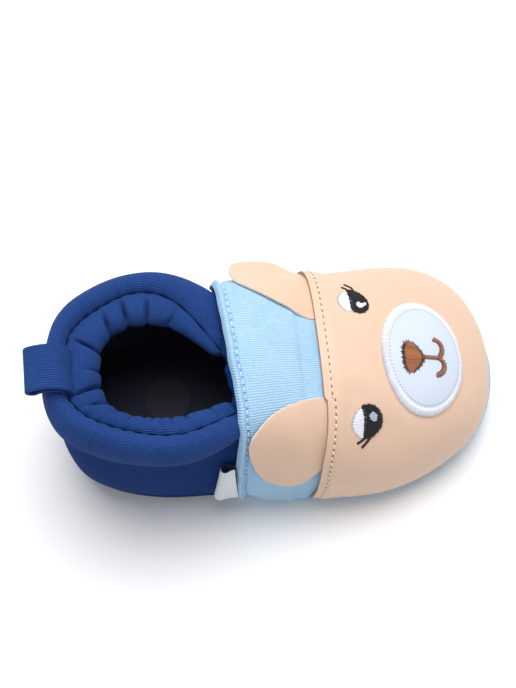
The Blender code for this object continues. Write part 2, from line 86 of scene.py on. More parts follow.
ringNames = (
    "along", "side", "middle", "rimAlong", "rimSide", "rimRise",
    "footPull", "footLean", "rimPull", "rimFall",
)


def wholeRing():
    ring = []
    for values in lastRows:
        row = dict(zip(lastColumns, values))
        for side in (1, -1):
            if side < 0 and row["turn"] in (0, 180):
                continue
            ring.append((
                side * row["turn"], row["along"], row["swing"] + side * row["half"], row["swing"],
                row["rimAlong"], row["rimSwing"] + side * row["rimHalf"], row["rimRise"],
                row["footPull"], row["footLean"], row["rimPull"], row["rimFall"],
            ))
    table = np.array(sorted(ring))
    return table[:, 0], table[:, 1:]


def splineBends(knots, values):  # a smooth closed curve through the rows
    count = len(knots)
    steps = np.diff(np.append(knots, knots[0] + 360))
    matrix = np.zeros((count, count))
    bends = np.zeros_like(values)
    for i in range(count):
        before, after, following = steps[i - 1], steps[i], (i + 1) % count
        matrix[i, i - 1] += before
        matrix[i, i] += 2 * (before + after)
        matrix[i, following] += after
        bends[i] = 6 * ((values[following] - values[i]) / after - (values[i] - values[i - 1]) / before)
    return np.linalg.solve(matrix, bends)


knots, ringTable = wholeRing()
ringBends = splineBends(knots, ringTable)


def ringValues(turn):
    turn = (np.asarray(turn, float) - knots[0]) % 360 + knots[0]
    low = np.searchsorted(knots, turn, side="right") - 1
    high = (low + 1) % len(knots)
    step = ((knots[high] - knots[low]) % 360)[..., None]
    b = (turn - knots[low])[..., None] / step
    a = 1 - b
    smooth = ((a**3 - a) * ringBends[low] + (b**3 - b) * ringBends[high]) * step**2 / 6
    values = a * ringTable[low] + b * ringTable[high] + smooth
    return dict(zip(ringNames, np.moveaxis(values, -1, 0)))


def ease(value, low, high):  # 0 below low, 1 above high, smooth between
    share = np.clip((value - low) / (high - low), 0, 1)
    return share * share * (3 - 2 * share)


def onFloor(along, side):
    start, end, lean = shoe["toeLean"]
    x = (along - 0.5) * shoe["soleLength"]
    return np.stack([x, side * shoe["ballWidth"] / 2 + lean * ease(x, start, end)], -1)


def withHeight(flat, height):
    return np.concatenate([flat, np.broadcast_to(height, flat.shape[:-1])[..., None]], -1)


def unit(vectors):
    return vectors / np.linalg.norm(vectors, axis=-1, keepdims=True)


def ground(x):  # underside of the sole: flat, then the toe spring
    start = shoe["springStart"] * shoe["soleLength"]
    return shoe["toeSpring"] * np.clip((x - start) / (shoe["soleLength"] / 2 - start), 0, 1) ** 2


def footLine(turn):  # the sole seam and its outward direction
    nudge = 0.05
    points = []
    for at in (turn - nudge, turn, turn + nudge):
        row = ringValues(at)
        points.append(onFloor(row["along"], row["side"]))
    tangent = points[2] - points[0]
    return points[1], unit(np.stack([tangent[..., 1], -tangent[..., 0]], -1))


def arrays(*values):  # of one common shape
    return np.broadcast_arrays(*(np.asarray(value, float) for value in values))


def lastPoint(turn, rise):
    turn, rise = arrays(turn, rise)
    row = ringValues(turn)
    foot, outward = footLine(turn)
    rim = onFloor(row["rimAlong"], row["rimSide"])
    reach = foot - rim
    length = np.linalg.norm(reach, axis=-1, keepdims=True)
    share = np.clip(length / shoe["shortReach"], 0, 1)
    towardsFoot = unit(share * reach / np.maximum(length, 1e-9) + (1 - share) * outward)
    lean, fall = np.radians(row["footLean"])[..., None], np.radians(row["rimFall"])[..., None]
    start = withHeight(foot, shoe["soleThick"] + shoe["gap"] + ground(foot[..., 0]))
    end = withHeight(rim, shoe["soleThick"] + row["rimRise"] * shoe["instepHeight"])
    up = row["footPull"][..., None] * shoe["instepHeight"]
    down = row["rimPull"][..., None] * shoe["instepHeight"]
    first = start + up * np.concatenate([outward * np.cos(lean), np.sin(lean)], -1)
    last = end + down * np.concatenate([towardsFoot * np.cos(fall), -np.sin(fall)], -1)
    v = rise[..., None]
    u = 1 - v
    return u**3 * start + 3 * u**2 * v * first + 3 * u * v**2 * last + v**3 * end


def lastNormal(turn, rise):
    nudge = 1e-3
    turn, rise = arrays(turn, rise)
    roundShoe = lastPoint(turn + 1, rise) - lastPoint(turn - 1, rise)
    upWall = lastPoint(turn, rise + nudge) - lastPoint(turn, np.maximum(rise - nudge, 0))
    normal = np.cross(roundShoe, upWall)
    normal[..., 2] *= np.clip(rise / shoe["levelRise"], 0, 1)
    return unit(normal)


def skin(turn, rise, lift):  # points that stand this far off the last
    turn, rise, lift = arrays(turn, rise, lift)
    onLast = lastPoint(turn, rise)
    moved = onLast + lastNormal(turn, rise) * lift[..., None]
    nearSole = np.clip(1 - rise / shoe["levelRise"], 0, 1)
    moved[..., 2] += nearSole * (ground(moved[..., 0]) - ground(onLast[..., 0]))
    return moved


def risePerMetre(turn):  # near the rim
    return 1 / (3 * ringValues(turn)["rimPull"] * shoe["instepHeight"])


def bump(value, middle, width):
    return np.exp(-(((value - middle) / width) ** 2))


def smoothed(values, count):
    padded = np.pad(values, ((count // 2, count // 2), (0, 0)), mode="reflect", reflect_type="odd")
    return np.stack([np.convolve(column, np.ones(count) / count, "valid") for column in padded.T], -1)


def alongLine(at, length, points):  # places on a line, at these lengths along it
    return np.stack([np.interp(at, length, column) for column in points.T], -1)


def roundInstep(points):  # degrees round the instep's axis, from straight up towards the far side
    return np.degrees(np.arctan2(points[..., 1], points[..., 2] - shoe["instepAxis"]))


# Modelling by hand, in small steps
def pick(piece):
    bpy.ops.object.select_all(action="DESELECT")
    piece.select_set(True)
    bpy.context.view_layer.objects.active = piece


def addGrid(name, columns, rows, *finishes):  # a flat grid, with each point's own place on it from 0 to 1
    bpy.ops.object.select_all(action="DESELECT")
    bpy.ops.mesh.primitive_grid_add(x_subdivisions=columns, y_subdivisions=rows, size=1)
    piece = bpy.context.object
    piece.name = piece.data.name = name
    for finish in finishes:
        piece.data.materials.append(finish)
    places = np.zeros(len(piece.data.vertices) * 3)
    piece.data.vertices.foreach_get("co", places)
    places = places.reshape(rows + 1, columns + 1, 3) + 0.5
    return piece, places[..., 0], places[..., 1]


def shapeGrid(piece, points, along, across):  # the grid goes onto these points, and its UV is cloth in metres
    piece.data.vertices.foreach_set("co", points.reshape(-1))
    corners = np.zeros(len(piece.data.loops), np.int32)
    piece.data.loops.foreach_get("vertex_index", corners)
    cloth = np.stack(np.broadcast_arrays(along, across), -1).reshape(-1, 2)
    piece.data.uv_layers.active.data.foreach_set("uv", cloth[corners].reshape(-1))
    piece.data.update()


def runLength(points, axis):  # length of cloth up to each point of a grid
    steps = np.cumsum(np.linalg.norm(np.diff(points, axis=axis), axis=-1), axis=axis)
    return np.concatenate([np.zeros_like(np.take(steps, [0], axis)), steps], axis)


def weld(piece, outwards=False):
    pick(piece)
    bpy.ops.object.mode_set(mode="EDIT")
    bpy.ops.mesh.select_all(action="SELECT")
    bpy.ops.mesh.remove_doubles(threshold=0.002 * mm)
    if outwards:
        bpy.ops.mesh.normals_make_consistent(inside=False)
    bpy.ops.object.mode_set(mode="OBJECT")


def modify(piece, kind, **settings):
    pick(piece)
    tool = piece.modifiers.new(kind.lower(), kind)
    for name, value in settings.items():
        setattr(tool, name, value)
    bpy.ops.object.modifier_apply(modifier=tool.name)


def smooth(piece, angle=50):
    pick(piece)
    bpy.ops.object.shade_smooth_by_angle(angle=math.radians(angle))


def faceUp(piece):  # an open sheet's top faces up
    if piece.data.polygons[len(piece.data.polygons) // 2].normal.z < 0:
        piece.data.flip_normals()


def dress(piece, node=None):
    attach(piece, "root")
    if node:
        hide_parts(node)
    return piece


def treeOf(piece):
    return BVHTree.FromObject(piece, bpy.context.evaluated_depsgraph_get())


# Shader nodes: a socket knows the tree that it is in
def addNode(tree, kind, **settings):
    node = tree.nodes.new("ShaderNode" + kind)
    for name, value in settings.items():
        setattr(node, name, value)
    return node


def feed(socket, value):
    if isinstance(value, bpy.types.NodeSocket):
        socket.id_data.links.new(value, socket)
    else:
        socket.default_value = value


def feedAll(node, **values):
    for label, value in values.items():
        feed(node.inputs[label.capitalize()], value)
    return node.outputs


def sums(operation, *values):
    tree = next(value.id_data for value in values if isinstance(value, bpy.types.NodeSocket))
    node = addNode(tree, "Math", operation=operation)
    for socket, value in zip(node.inputs, values):
        feed(socket, value)
    return node.outputs[0]


def scaled(value, factor, more=0.0):
    return sums("MULTIPLY_ADD", value, factor, more)


def wave(turns, half, middle):
    return scaled(sums("COSINE", scaled(turns, 2 * math.pi)), half, middle)


def parts(place):  # X and Y of a place
    split = addNode(place.id_data, "SeparateXYZ")
    feed(split.inputs[0], place)
    return split.outputs["X"], split.outputs["Y"]


def noise(place, scale, detail=2.0):
    return feedAll(addNode(place.id_data, "TexNoise"), vector=place, scale=scale, detail=detail)["Fac"]


def mixColour(share, first, second):
    first, second = ((*colour, 1) if isinstance(colour, tuple) else colour for colour in (first, second))
    node = addNode(share.id_data, "Mix", data_type="RGBA")
    return feedAll(node, factor=share, a=first, b=second)["Result"]


def newGroup(name, **inputs):  # each group gives a height and a tone
    tree = bpy.data.node_groups.new(name, "ShaderNodeTree")
    for label, kind in inputs.items():
        tree.interface.new_socket(label.capitalize(), in_out="INPUT", socket_type="NodeSocket" + kind)
    for label in ("Height", "Tone"):
        tree.interface.new_socket(label, in_out="OUTPUT", socket_type="NodeSocketFloat")
    return tree, tree.nodes.new("NodeGroupInput").outputs, tree.nodes.new("NodeGroupOutput").inputs


def jerseyGroup():  # ribs along U, made of small slanted loops of heathered yarn
    tree, given, result = newGroup("jerseyKnit", cloth="Vector", pitch="Float", loop="Float")
    cloth = given["Cloth"]
    u, v = parts(cloth)
    wobble = scaled(noise(cloth, 220), 0.3 * mm, -0.15 * mm)
    across = sums("DIVIDE", sums("ADD", v, wobble), given["Pitch"])
    fromMiddle = sums("ABSOLUTE", sums("SUBTRACT", sums("FRACT", across), 0.5))
    along = sums("ADD", sums("DIVIDE", u, given["Loop"]), fromMiddle)
    height = sums("MULTIPLY", sums("POWER", wave(fromMiddle, 0.5, 0.5), 0.6), wave(along, 0.2, 0.8))
    ribPlace = addNode(tree, "CombineXYZ")  # each rib has its own run of light and dark yarn
    feedAll(ribPlace, x=u, y=scaled(sums("FLOOR", across), 0.013))
    yarn, fibres = noise(ribPlace.outputs[0], 900, 3), noise(cloth, 2600, 3)
    feed(result["Height"], scaled(fibres, 0.35, height))
    # the rib's height also feeds the tone, darkening the valleys: painted shade, on top of the yarn's own
    # heather
    tone = scaled(yarn, 0.45, scaled(fibres, 0.30, scaled(height, 0.55)))
    feed(result["Tone"], scaled(noise(cloth, 90, 3), 0.25, tone))
    return tree


def grainGroup():  # fine pores of coated leather, and its slow changes of tone
    tree, given, result = newGroup("leatherGrain", place="Vector", scale="Float")
    place = given["Place"]
    pores = addNode(tree, "TexVoronoi", feature="SMOOTH_F1")
    depth = feedAll(pores, vector=place, scale=given["Scale"])["Distance"]
    feed(result["Height"], scaled(noise(place, 5200), 0.3, depth))
    # the tone also follows the pore depth: painted shade in the pores, with the leather's own slow changes of
    # tone
    feed(result["Tone"], scaled(depth, 0.25, noise(place, 45, 3)))
    return tree


def weaveGroup():  # plain weave, threads over and under
    tree, given, result = newGroup("plainWeave", place="Vector", pitch="Float")
    place = given["Place"]
    turns = [sums("DIVIDE", side, given["Pitch"]) for side in parts(place)]
    crossing = sums("MULTIPLY", *(sums("SINE", scaled(turn, math.pi)) for turn in turns))
    crossing = scaled(crossing, 0.5, 0.5)
    feed(result["Height"], scaled(noise(place, 3000, 3), 0.4, crossing))
    # the tone also follows the crossings: painted shade in the low places between the threads
    feed(result["Tone"], scaled(crossing, 0.3, noise(place, 60, 3)))
    return tree


jerseyKnit, leatherGrain, plainWeave = jerseyGroup(), grainGroup(), weaveGroup()
shaderNames = {
    "sheen": "Sheen Weight", "sheenRough": "Sheen Roughness", "sheenTint": "Sheen Tint",
    "rough": "Roughness", "specular": "Specular IOR Level",
}


def newMaterial(name, **values):  # what is the same all over is set on the shader's own sockets
    made = bpy.data.materials.new(name)
    made.use_nodes = True
    shader = made.node_tree.nodes["Principled BSDF"].inputs
    for label, value in values.items():
        shader[shaderNames[label]].default_value = value
    return made, shader


def placeOn(made, kind):  # UV is cloth in metres, Object is the shoe's own space
    return addNode(made.node_tree, "TexCoord").outputs[kind]


def addGroup(group, place, **values):
    node = addNode(place.id_data, "Group", node_tree=group)
    feed(node.inputs[0], place)
    return feedAll(node, **values)


def addBump(shader, height, depth, strength):
    node = addNode(height.id_data, "Bump")
    feed(shader["Normal"], feedAll(node, distance=depth, strength=strength, height=height)[0])


def printOver(made, share, colour):  # a second colour, where the share is 1
    base = made.node_tree.nodes["Principled BSDF"].inputs["Base Color"]
    feed(base, mixColour(share, base.links[0].from_socket, colour))


def jersey(name, dark, light, tint, sheen, relief):
    made, shader = newMaterial(
        name, sheen=sheen, sheenRough=0.45, sheenTint=(*tint, 1), rough=0.9, specular=0.1)
    knit = addGroup(jerseyKnit, placeOn(made, "UV"), pitch=0.66 * mm, loop=0.55 * mm)
    feed(shader["Base Color"], mixColour(knit["Tone"], dark, light))
    addBump(shader, knit["Height"], 0.20 * mm, relief)
    return made


def leather(name, dark, light, rough, relief=0.5):
    made, shader = newMaterial(name, specular=0.4)
    grain = addGroup(leatherGrain, placeOn(made, "Object"), scale=1700)
    feed(shader["Base Color"], mixColour(grain["Tone"], dark, light))
    feed(shader["Roughness"], scaled(grain["Tone"], 0.10, rough))
    addBump(shader, grain["Height"], 0.05 * mm, relief)
    return made


def woven(name, dark, light, pitch, sheen, relief=0.6):
    made, shader = newMaterial(name, sheen=sheen, sheenRough=0.5, rough=0.9, specular=0.2)
    weave = addGroup(plainWeave, placeOn(made, "Object"), pitch=pitch)
    feed(shader["Base Color"], mixColour(weave["Tone"], dark, light))
    addBump(shader, weave["Height"], 0.12 * mm, relief)
    return made


def thread(name, dark, light, rough=0.45):  # each strand has its own tone, from its place in the UV map
    made, shader = newMaterial(name, sheen=0.25, sheenRough=0.35, rough=rough, specular=0.45)
    fibres = noise(placeOn(made, "Object"), 3800, 3)
    strand = addNode(made.node_tree, "TexWhiteNoise", noise_dimensions="2D")
    tone = feedAll(strand, vector=placeOn(made, "UV"))["Value"]
    feed(shader["Base Color"], mixColour(scaled(tone, 0.6, scaled(fibres, 0.4)), dark, light))
    addBump(shader, fibres, 0.06 * mm, 0.5)
    return made


blueTint = (0.25, 0.45, 1.0)
royalJersey = jersey("royalJersey", (0.0005, 0.005, 0.032), (0.023, 0.071, 0.268), blueTint, 0.10, 0.85)
# the royal jersey again, made darker for the quarter: painted shade on its steep walls, which face away from
# the light
quarterShadedJersey = jersey("quarterShadedJersey", (0.001, 0.009, 0.056), (0.008, 0.042, 0.185), blueTint, 0.04, 0.5)
skyJersey = jersey("skyJersey", (0.130, 0.310, 0.560), (0.460, 0.680, 0.885), (0.9, 0.97, 1.0), 0.12, 0.65)
peachLeather = leather("peachLeather", (0.715, 0.478, 0.345), (0.800, 0.565, 0.425), 0.42)
# dark brown for the face panel's cut edge: partly the raw edge's own tone, partly painted shade of the shadow
# line along the edge
peachEdgeShade = leather("peachEdgeShade", (0.330, 0.200, 0.130), (0.480, 0.310, 0.220), 0.8)
peachCut = leather("peachCut", (0.800, 0.640, 0.530), (0.880, 0.740, 0.640), 0.75)
navyLining = woven("navyLining", (0.032, 0.036, 0.058), (0.064, 0.070, 0.112), 0.5 * mm, 0.05)
soleCloth = woven("soleCloth", (0.230, 0.440, 0.680), (0.380, 0.620, 0.840), 0.6 * mm, 0.1)
# dark navy for the tag's inner face: painted shade inside the fold
ribbonInsideShade = woven("ribbonInsideShade", (0.008, 0.014, 0.065), (0.018, 0.030, 0.115), 0.35 * mm, 0.1)
whiteRibbon = woven("whiteRibbon", (0.640, 0.680, 0.740), (0.800, 0.830, 0.870), 0.35 * mm, 0.1)
whiteThread = thread("whiteThread", (0.700, 0.710, 0.810), (0.930, 0.935, 0.985))
mauveThread = thread("mauveThread", (0.400, 0.370, 0.430), (0.580, 0.550, 0.620))
greyThread = thread("greyThread", (0.360, 0.380, 0.500), (0.560, 0.580, 0.700))
blackThread = thread("blackThread", (0.003, 0.003, 0.005), (0.012, 0.012, 0.016), 0.75)
# dark brown strands laid under the nose and mouth, longer than the fill: painted shade at the strands' ends
# and edges
umberShadeThread = thread("umberShadeThread", (0.030, 0.008, 0.004), (0.120, 0.034, 0.016))
brownThread = thread("brownThread", (0.110, 0.030, 0.010), (0.520, 0.190, 0.070))
skyThread = thread("skyThread", (0.300, 0.560, 0.820), (0.520, 0.760, 0.940))
peachThread = thread("peachThread", (0.800, 0.600, 0.470), (0.900, 0.730, 0.610))
# dark marks at the needle holes of the stitch rows: painted shade of the holes and dents
skyHoleShade = thread("skyHoleShade", (0.110, 0.250, 0.460), (0.190, 0.350, 0.580), 0.9)
peachHoleShade = thread("peachHoleShade", (0.190, 0.105, 0.066), (0.300, 0.180, 0.120), 0.9)
print("materials made")


# Sole and insole: flat cloth plates, rounded at the edge
sole = {
    "columns": 240,
    "edgeTurns": (-110, -90, -75, -45, -25, 0, 25, 45, 75, 90, 110),
    "edgeOut": (-0.9, 1.7, 2.6, 1.9, 3.4, 4.7, 4.6, 3.6, 2.6, 1.7, -0.9),  # mm past the sole seam
    "rounding": 1.2 * mm,
    "insoleLow": 3.3 * mm,
    "insoleThick": 3.0 * mm,
    "insoleRounding": 0.8 * mm,
    "insoleOut": -1.6 * mm,
    "discPlace": (-31.6 * mm, 3.2 * mm),
    "discRadius": 6.6 * mm,
}


def makePlate(name, finish, profile, out):  # profile rows: share of the way to the middle, inset, height
    piece, u, v = addGrid(name, sole["columns"], len(profile) - 1, finish)
    turn = u[0] * 360 - 180
    row = ringValues(turn)
    foot, outward = footLine(turn)
    middle = onFloor(row["along"], row["middle"])
    lines = []
    for share, inset, height in profile:
        flat = (foot + outward * (out - inset)[:, None]) * (1 - share) + middle * share
        lines.append(withHeight(flat, height + ground(flat[:, 0])))
    points = np.array(lines)
    shapeGrid(piece, points, points[..., 0], points[..., 1])
    weld(piece, outwards=True)
    smooth(piece)
    return piece


def makeSole():
    r, thick = sole["rounding"], shoe["soleThick"]
    toMiddle = (0.12, 0.3, 0.5, 0.7, 0.85, 1.0)
    edge = ((2.0, 0.0), (1.3, 0.06), (0.7, 0.22), (0.25, 0.55), (0.0, 1.0))
    profile = [(share, 2.0 * r, 0.0) for share in toMiddle[::-1]]
    profile += [(0.0, inset * r, height * r) for inset, height in edge]
    profile += [(0.0, 0.0, thick - 0.4 * r), (0.0, 0.12 * r, thick - 0.12 * r), (0.0, 0.4 * r, thick)]
    profile += [(share, 0.4 * r, thick) for share in toMiddle]
    out = np.interp(np.linspace(-180, 180, sole["columns"] + 1), sole["edgeTurns"], sole["edgeOut"]) * mm
    piece = makePlate("soleCloth", soleCloth, profile, out)
    return dress(piece, "outsole")


def insoleFinish():  # brushed lining with a plain printed disc
    made = woven("insoleLining", (0.018, 0.020, 0.033), (0.038, 0.041, 0.066), 0.5 * mm, 0.05, 0.5)
    offs = [sums("SUBTRACT", side, at) for side, at in zip(parts(placeOn(made, "Object")), sole["discPlace"])]
    distance = sums("SQRT", sums("ADD", *(sums("MULTIPLY", off, off) for off in offs)))
    printOver(made, sums("LESS_THAN", distance, sole["discRadius"]), (0.042, 0.046, 0.064))
    return made


def makeInsole():
    low, r = sole["insoleLow"], sole["insoleRounding"]
    high = low + sole["insoleThick"]
    toMiddle = (0.15, 0.4, 0.7, 1.0)
    profile = [(share, 0.0, low) for share in toMiddle[::-1]]
    profile += [(0.0, 0.0, low), (0.0, 0.0, high - r), (0.0, 0.3 * r, high - 0.3 * r), (0.0, r, high)]
    profile += [(share, r, high) for share in toMiddle]
    piece = makePlate("insoleCloth", insoleFinish(), profile, np.full(sole["columns"] + 1, sole["insoleOut"]))
    return dress(piece, "insole")


makeSole()
makeInsole()
print("sole and insole made")


# Vamp: the pale strip with its turned hem at the throat
hem = {
    "columns": 300,
    "rows": 90,
    "fine": (0.40, 5.0 * mm),  # share of the rows, and the depth of hem that they make
    "tuck": 4.0 * mm,  # goes on under the face
    "spread": 1.02,  # and a little way into the sole's edge
    "line": (13, -14 * mm),  # columns averaged along the edge, and its usual x
    "wave": 0.10 * mm,
    "raise": 1.15 * mm,
    "edge": 1.5 * mm,  # the turned edge rolls over this far
    "stitchDepth": 2.6 * mm,
    "stitchSink": 0.60 * mm,
    "stitchWide": 0.55 * mm,
    "ridge": (0.20 * mm, 4.3 * mm, 1.1 * mm),  # cloth stands up by the stitches: height, depth, width
    "seamEdge": (-1 * mm, 1 * mm),
    "seamBand": (4.5 * mm, 6.1 * mm),  # pressed flat behind the face
    "seamDip": 0.55 * mm,
    "shoulder": (46, 14, 1.0 * mm),  # padding at the far side: degrees, width, height
    "solePucker": 0.35 * mm,
    "soleBulge": 1.3 * mm,  # the strip swells over the sole, ahead of the hem
    "bulgeStart": (3.5 * mm, 7 * mm),
    "shoulderStart": (4 * mm, 18 * mm),
    "rollEnd": (1.7 * mm, 3.0 * mm),
    "rollLow": (3 * mm, 9 * mm),  # the hem is flatter under these heights
    "offSole": (3.4 * mm, 6 * mm),
    "lowBand": (4 * mm, 15 * mm),  # and the sole pulls at the cloth up to these
    "slack": 0.22 * mm,
    "girthRadius": 31 * mm,
}
hemRows = (  # the turned edge, from the near sole over the instep to the far one: degrees, and x in mm
    (-120, -12.2), (-113, -13.7), (-105, -14.6), (-87, -14.8), (-67, -14.3), (-53, -13.4), (-42, -12.6),
    (-33, -12.1), (-25, -12.3), (-15, -12.8), (-5, -13.3), (5, -13.8), (15, -14.1), (23, -14.4), (30, -15.0),
    (38, -16.0), (45, -16.5), (55, -16.2), (75, -15.0), (105, -14.4), (113, -13.6), (120, -12.2),
)
lay = {  # where the strip can lie: a table of distances from the instep's axis
    "x": np.linspace(-22, 18, 161) * mm,
    "degrees": np.linspace(-122, 122, 245),
    "reach": 60 * mm,
    "slopes": (-0.12, 0.5),  # how it may go on past the throat
    "rounding": 5,
}


def seamX(height):
    over = height - shoe["seamHold"]
    held = shoe["seamHold"] + (over + np.hypot(over, shoe["seamRounding"])) / 2
    low = np.clip(1 - held / shoe["instepHeight"], 0, 1)
    return shoe["seamX"] - shoe["seamSweep"] * low ** shoe["seamCurve"]


def hemX(degrees):
    rows = np.array(hemRows)
    line = np.interp(lay["degrees"], rows[:, 0], rows[:, 1])[:, None]
    line = smoothed(smoothed(line, hem["line"][0]), hem["line"][0])[:, 0] * mm
    line = line + hem["wave"] * (np.sin(lay["degrees"] / 4.1) + 0.7 * np.sin(lay["degrees"] / 2.3 + 1))
    return np.interp(degrees, lay["degrees"], line)


def rayRound(degrees):
    return Vector((0, math.sin(math.radians(degrees)), math.cos(math.radians(degrees))))


def fromOutside(tree, x, ray):  # distance from the instep's axis to what a ray from outside meets
    axis = Vector((x, 0, shoe["instepAxis"]))
    hit = tree.ray_cast(axis + ray * lay["reach"], -ray, lay["reach"])[0]
    return (hit - axis).length if hit else math.nan


def reachTable():
    guide, u, v = addGrid("stripGuide", 260, 120)
    shapeGrid(guide, skin(u * 250 - 125, v * 1.03 - 0.03, shoe["vampTop"]), u, v)
    tree = treeOf(guide)
    bpy.data.objects.remove(guide)
    table = np.array([[fromOutside(tree, x, rayRound(angle)) for angle in lay["degrees"]] for x in lay["x"]])
    for j in np.where(abs(lay["degrees"]) < 60)[0]:  # goes on over the opening
        first = int(np.argmax(~np.isnan(table[:, j])))
        slope = (table[first + 8, j] - table[first, j]) / (lay["x"][first + 8] - lay["x"][first])
        past = lay["x"][:first] - lay["x"][first]
        table[:first, j] = table[first, j] + np.clip(slope, *lay["slopes"]) * past
    for row in table:  # and past the sole
        known = ~np.isnan(row)
        row[:] = np.interp(lay["degrees"], lay["degrees"][known], row[known])
    for _ in range(2):
        table = smoothed(smoothed(table, lay["rounding"]).T, lay["rounding"]).T
    return table


reaches = reachTable()


def reachAt(x, degrees):
    i, j = (
        np.clip((values - marks[0]) / (marks[1] - marks[0]), 0, len(marks) - 1.001)
        for values, marks in ((x, lay["x"]), (degrees, lay["degrees"]))
    )
    m, n = i.astype(int), j.astype(int)
    a, b = i - m, j - n
    low = reaches[m, n] * (1 - b) + reaches[m, n + 1] * b
    high = reaches[m + 1, n] * (1 - b) + reaches[m + 1, n + 1] * b
    return low * (1 - a) + high * a


def onStrip(x, degrees, lift):
    x, degrees, lift = arrays(x, degrees, lift)
    reach, angle = reachAt(x, degrees) + lift, np.radians(degrees)
    return np.stack([x, reach * np.sin(angle), shoe["instepAxis"] + reach * np.cos(angle)], -1)


def soleAngle(x, side):  # where the strip meets the sole
    foot = skin(side * np.linspace(125, 30, 96), 0, shoe["vampTop"])
    return np.interp(x, foot[:, 0], roundInstep(foot))


def angleAt(spread, x):  # spread runs from -1 at the near sole to 1 at the far sole
    return abs(spread) * np.where(spread < 0, soleAngle(x, -1), soleAngle(x, 1))


def edgeTree():
    degrees = angleAt(np.linspace(-1, 1, 2400), hem["line"][1])
    points = onStrip(hemX(degrees), degrees, 0)
    tree = KDTree(len(points))
    for number, point in enumerate(points):
        tree.insert(point, number)
    tree.balance()
    return tree


hemTree = edgeTree()


def hemDepth(x, degrees):  # distance from the turned edge
    here = onStrip(x, degrees, 0)
    return np.array([hemTree.find(point)[2] for point in here.reshape(-1, 3)]).reshape(here.shape[:-1])


def stripPlace(x, degrees):  # height, distance behind the seam, and the shares that the lifts go by
    height = onStrip(x, degrees, 0)[..., 2]
    behindSeam = seamX(height) - x
    shown = ease(behindSeam, *hem["seamEdge"])
    return height, behindSeam, shown, 1 - ease(height, *hem["lowBand"]), ease(height, *hem["offSole"])


def stuffing(x, degrees, depth):  # the strip's soft body, without its sewing
    behindSeam, shown, low, offSole = stripPlace(x, degrees)[1:]
    angle, wide, high = hem["shoulder"]
    shoulder = high * bump(degrees, angle, wide) * ease(behindSeam, *hem["shoulderStart"])
    return hem["soleBulge"] * low * offSole * ease(depth, *hem["bulgeStart"]) * shown + shoulder


def stripLift(x, degrees):
    depth = hemDepth(x, degrees)
    height, behindSeam, shown, low, offSole = stripPlace(x, degrees)
    roll = np.sin(np.clip(depth / hem["edge"], 0, 1) * math.pi / 2)
    lift = hem["raise"] * (roll - 0.35 * (1 - roll)) * (1 - ease(depth, *hem["rollEnd"]))
    lift = lift * (0.3 + 0.7 * ease(height, *hem["rollLow"]))
    lift = lift - hem["stitchSink"] * (1 + low) * bump(depth, hem["stitchDepth"], hem["stitchWide"])
    ridge, ridgeDepth, ridgeWide = hem["ridge"]
    lift = lift + ridge * bump(depth, ridgeDepth, ridgeWide)
    lift = lift - hem["seamDip"] * (1 - ease(behindSeam, *hem["seamBand"]))
    lift = lift + stuffing(x, degrees, depth)
    folds = np.sin(x / (1.15 * mm)) + 0.5 * np.sin(x / (0.7 * mm) + 1.3)
    lift = lift + hem["solePucker"] * 0.5 * folds * low * offSole * shown
    slack = np.sin(degrees / 6.0 + 0.4) * np.sin(x / (4.5 * mm) + degrees / 20.0)
    return lift + hem["slack"] * slack * shown


def girth(points):  # length of cloth round the instep
    return np.radians(roundInstep(points)) * hem["girthRadius"]


def makeVamp():
    piece, u, v = addGrid("vampStrip", hem["columns"], hem["rows"], skyJersey)
    spread = (u * 2 - 1) * hem["spread"]
    degrees = angleAt(spread, hem["line"][1])
    back = hemX(degrees)
    front = seamX(onStrip(shoe["seamX"], degrees, 0)[..., 2]) + hem["tuck"]
    share, fineDepth = hem["fine"]
    depth = np.interp(1 - v, (0, share), (0, fineDepth))
    depth = depth + np.clip((1 - v - share) / (1 - share), 0, 1) * (front - back - fineDepth)
    x = back + depth
    degrees = angleAt(spread, x)
    points = onStrip(x, degrees, stripLift(x, degrees))
    shapeGrid(piece, points, points[..., 0], girth(points))
    modify(piece, "SOLIDIFY", thickness=1.0 * mm, offset=-1)
    weld(piece, outwards=True)
    smooth(piece, 60)
    return dress(piece, "vamp")


makeVamp()
print("vamp made")


# Upper: jersey quarter round the heel, one padded wall with the lining inside
upper = {
    "columns": 144,
    "rows": 34,
    "thick": 2.8 * mm,
    "lip": 0.9 * mm,  # how far the lining shows past the hem
    "lipRange": (0.4 * mm, 2.4 * mm),
    "lipDroop": 2.2 * mm,
    "lipWave": 0.45 * mm,
    "slack": 0.35 * mm,  # soft unevenness of the quarter
    "under": ((-1.6, 0.15), (-0.4, 0.35), (0.15, 1.1), (0.35, 2.2)),  # turned under: mm outwards, and up
    "cornerDip": 2.6 * mm,  # pressed in at the far end of the collar
    "heelSwell": 1.5 * mm,  # fuller at the near side of the heel
    "underStrip": 0.8 * mm,  # pressed in where the strip lies over it
    "stripEdge": (0.5 * mm, 2.5 * mm),
}


def quarterSlack(turn, rise):
    waves = np.sin(np.radians(turn * 5.0 + 40)) * np.sin(rise * 5.2 + 0.6)
    waves = waves + 0.6 * np.sin(np.radians(turn * 11.0) + rise * 3.4)
    waves = waves + 0.4 * np.sin(np.radians(turn * 23.0) + 1.1)
    slack = upper["slack"] * waves * ease(abs(turn), 103, 118) * ease(rise, 0.03, 0.25) / 2
    slack = slack + upper["heelSwell"] * bump(turn, -154, 24) * bump(rise, 0.50, 0.40)
    return slack - upper["cornerDip"] * bump(turn, 103, 9) * ease(rise, 0.50, 0.95)


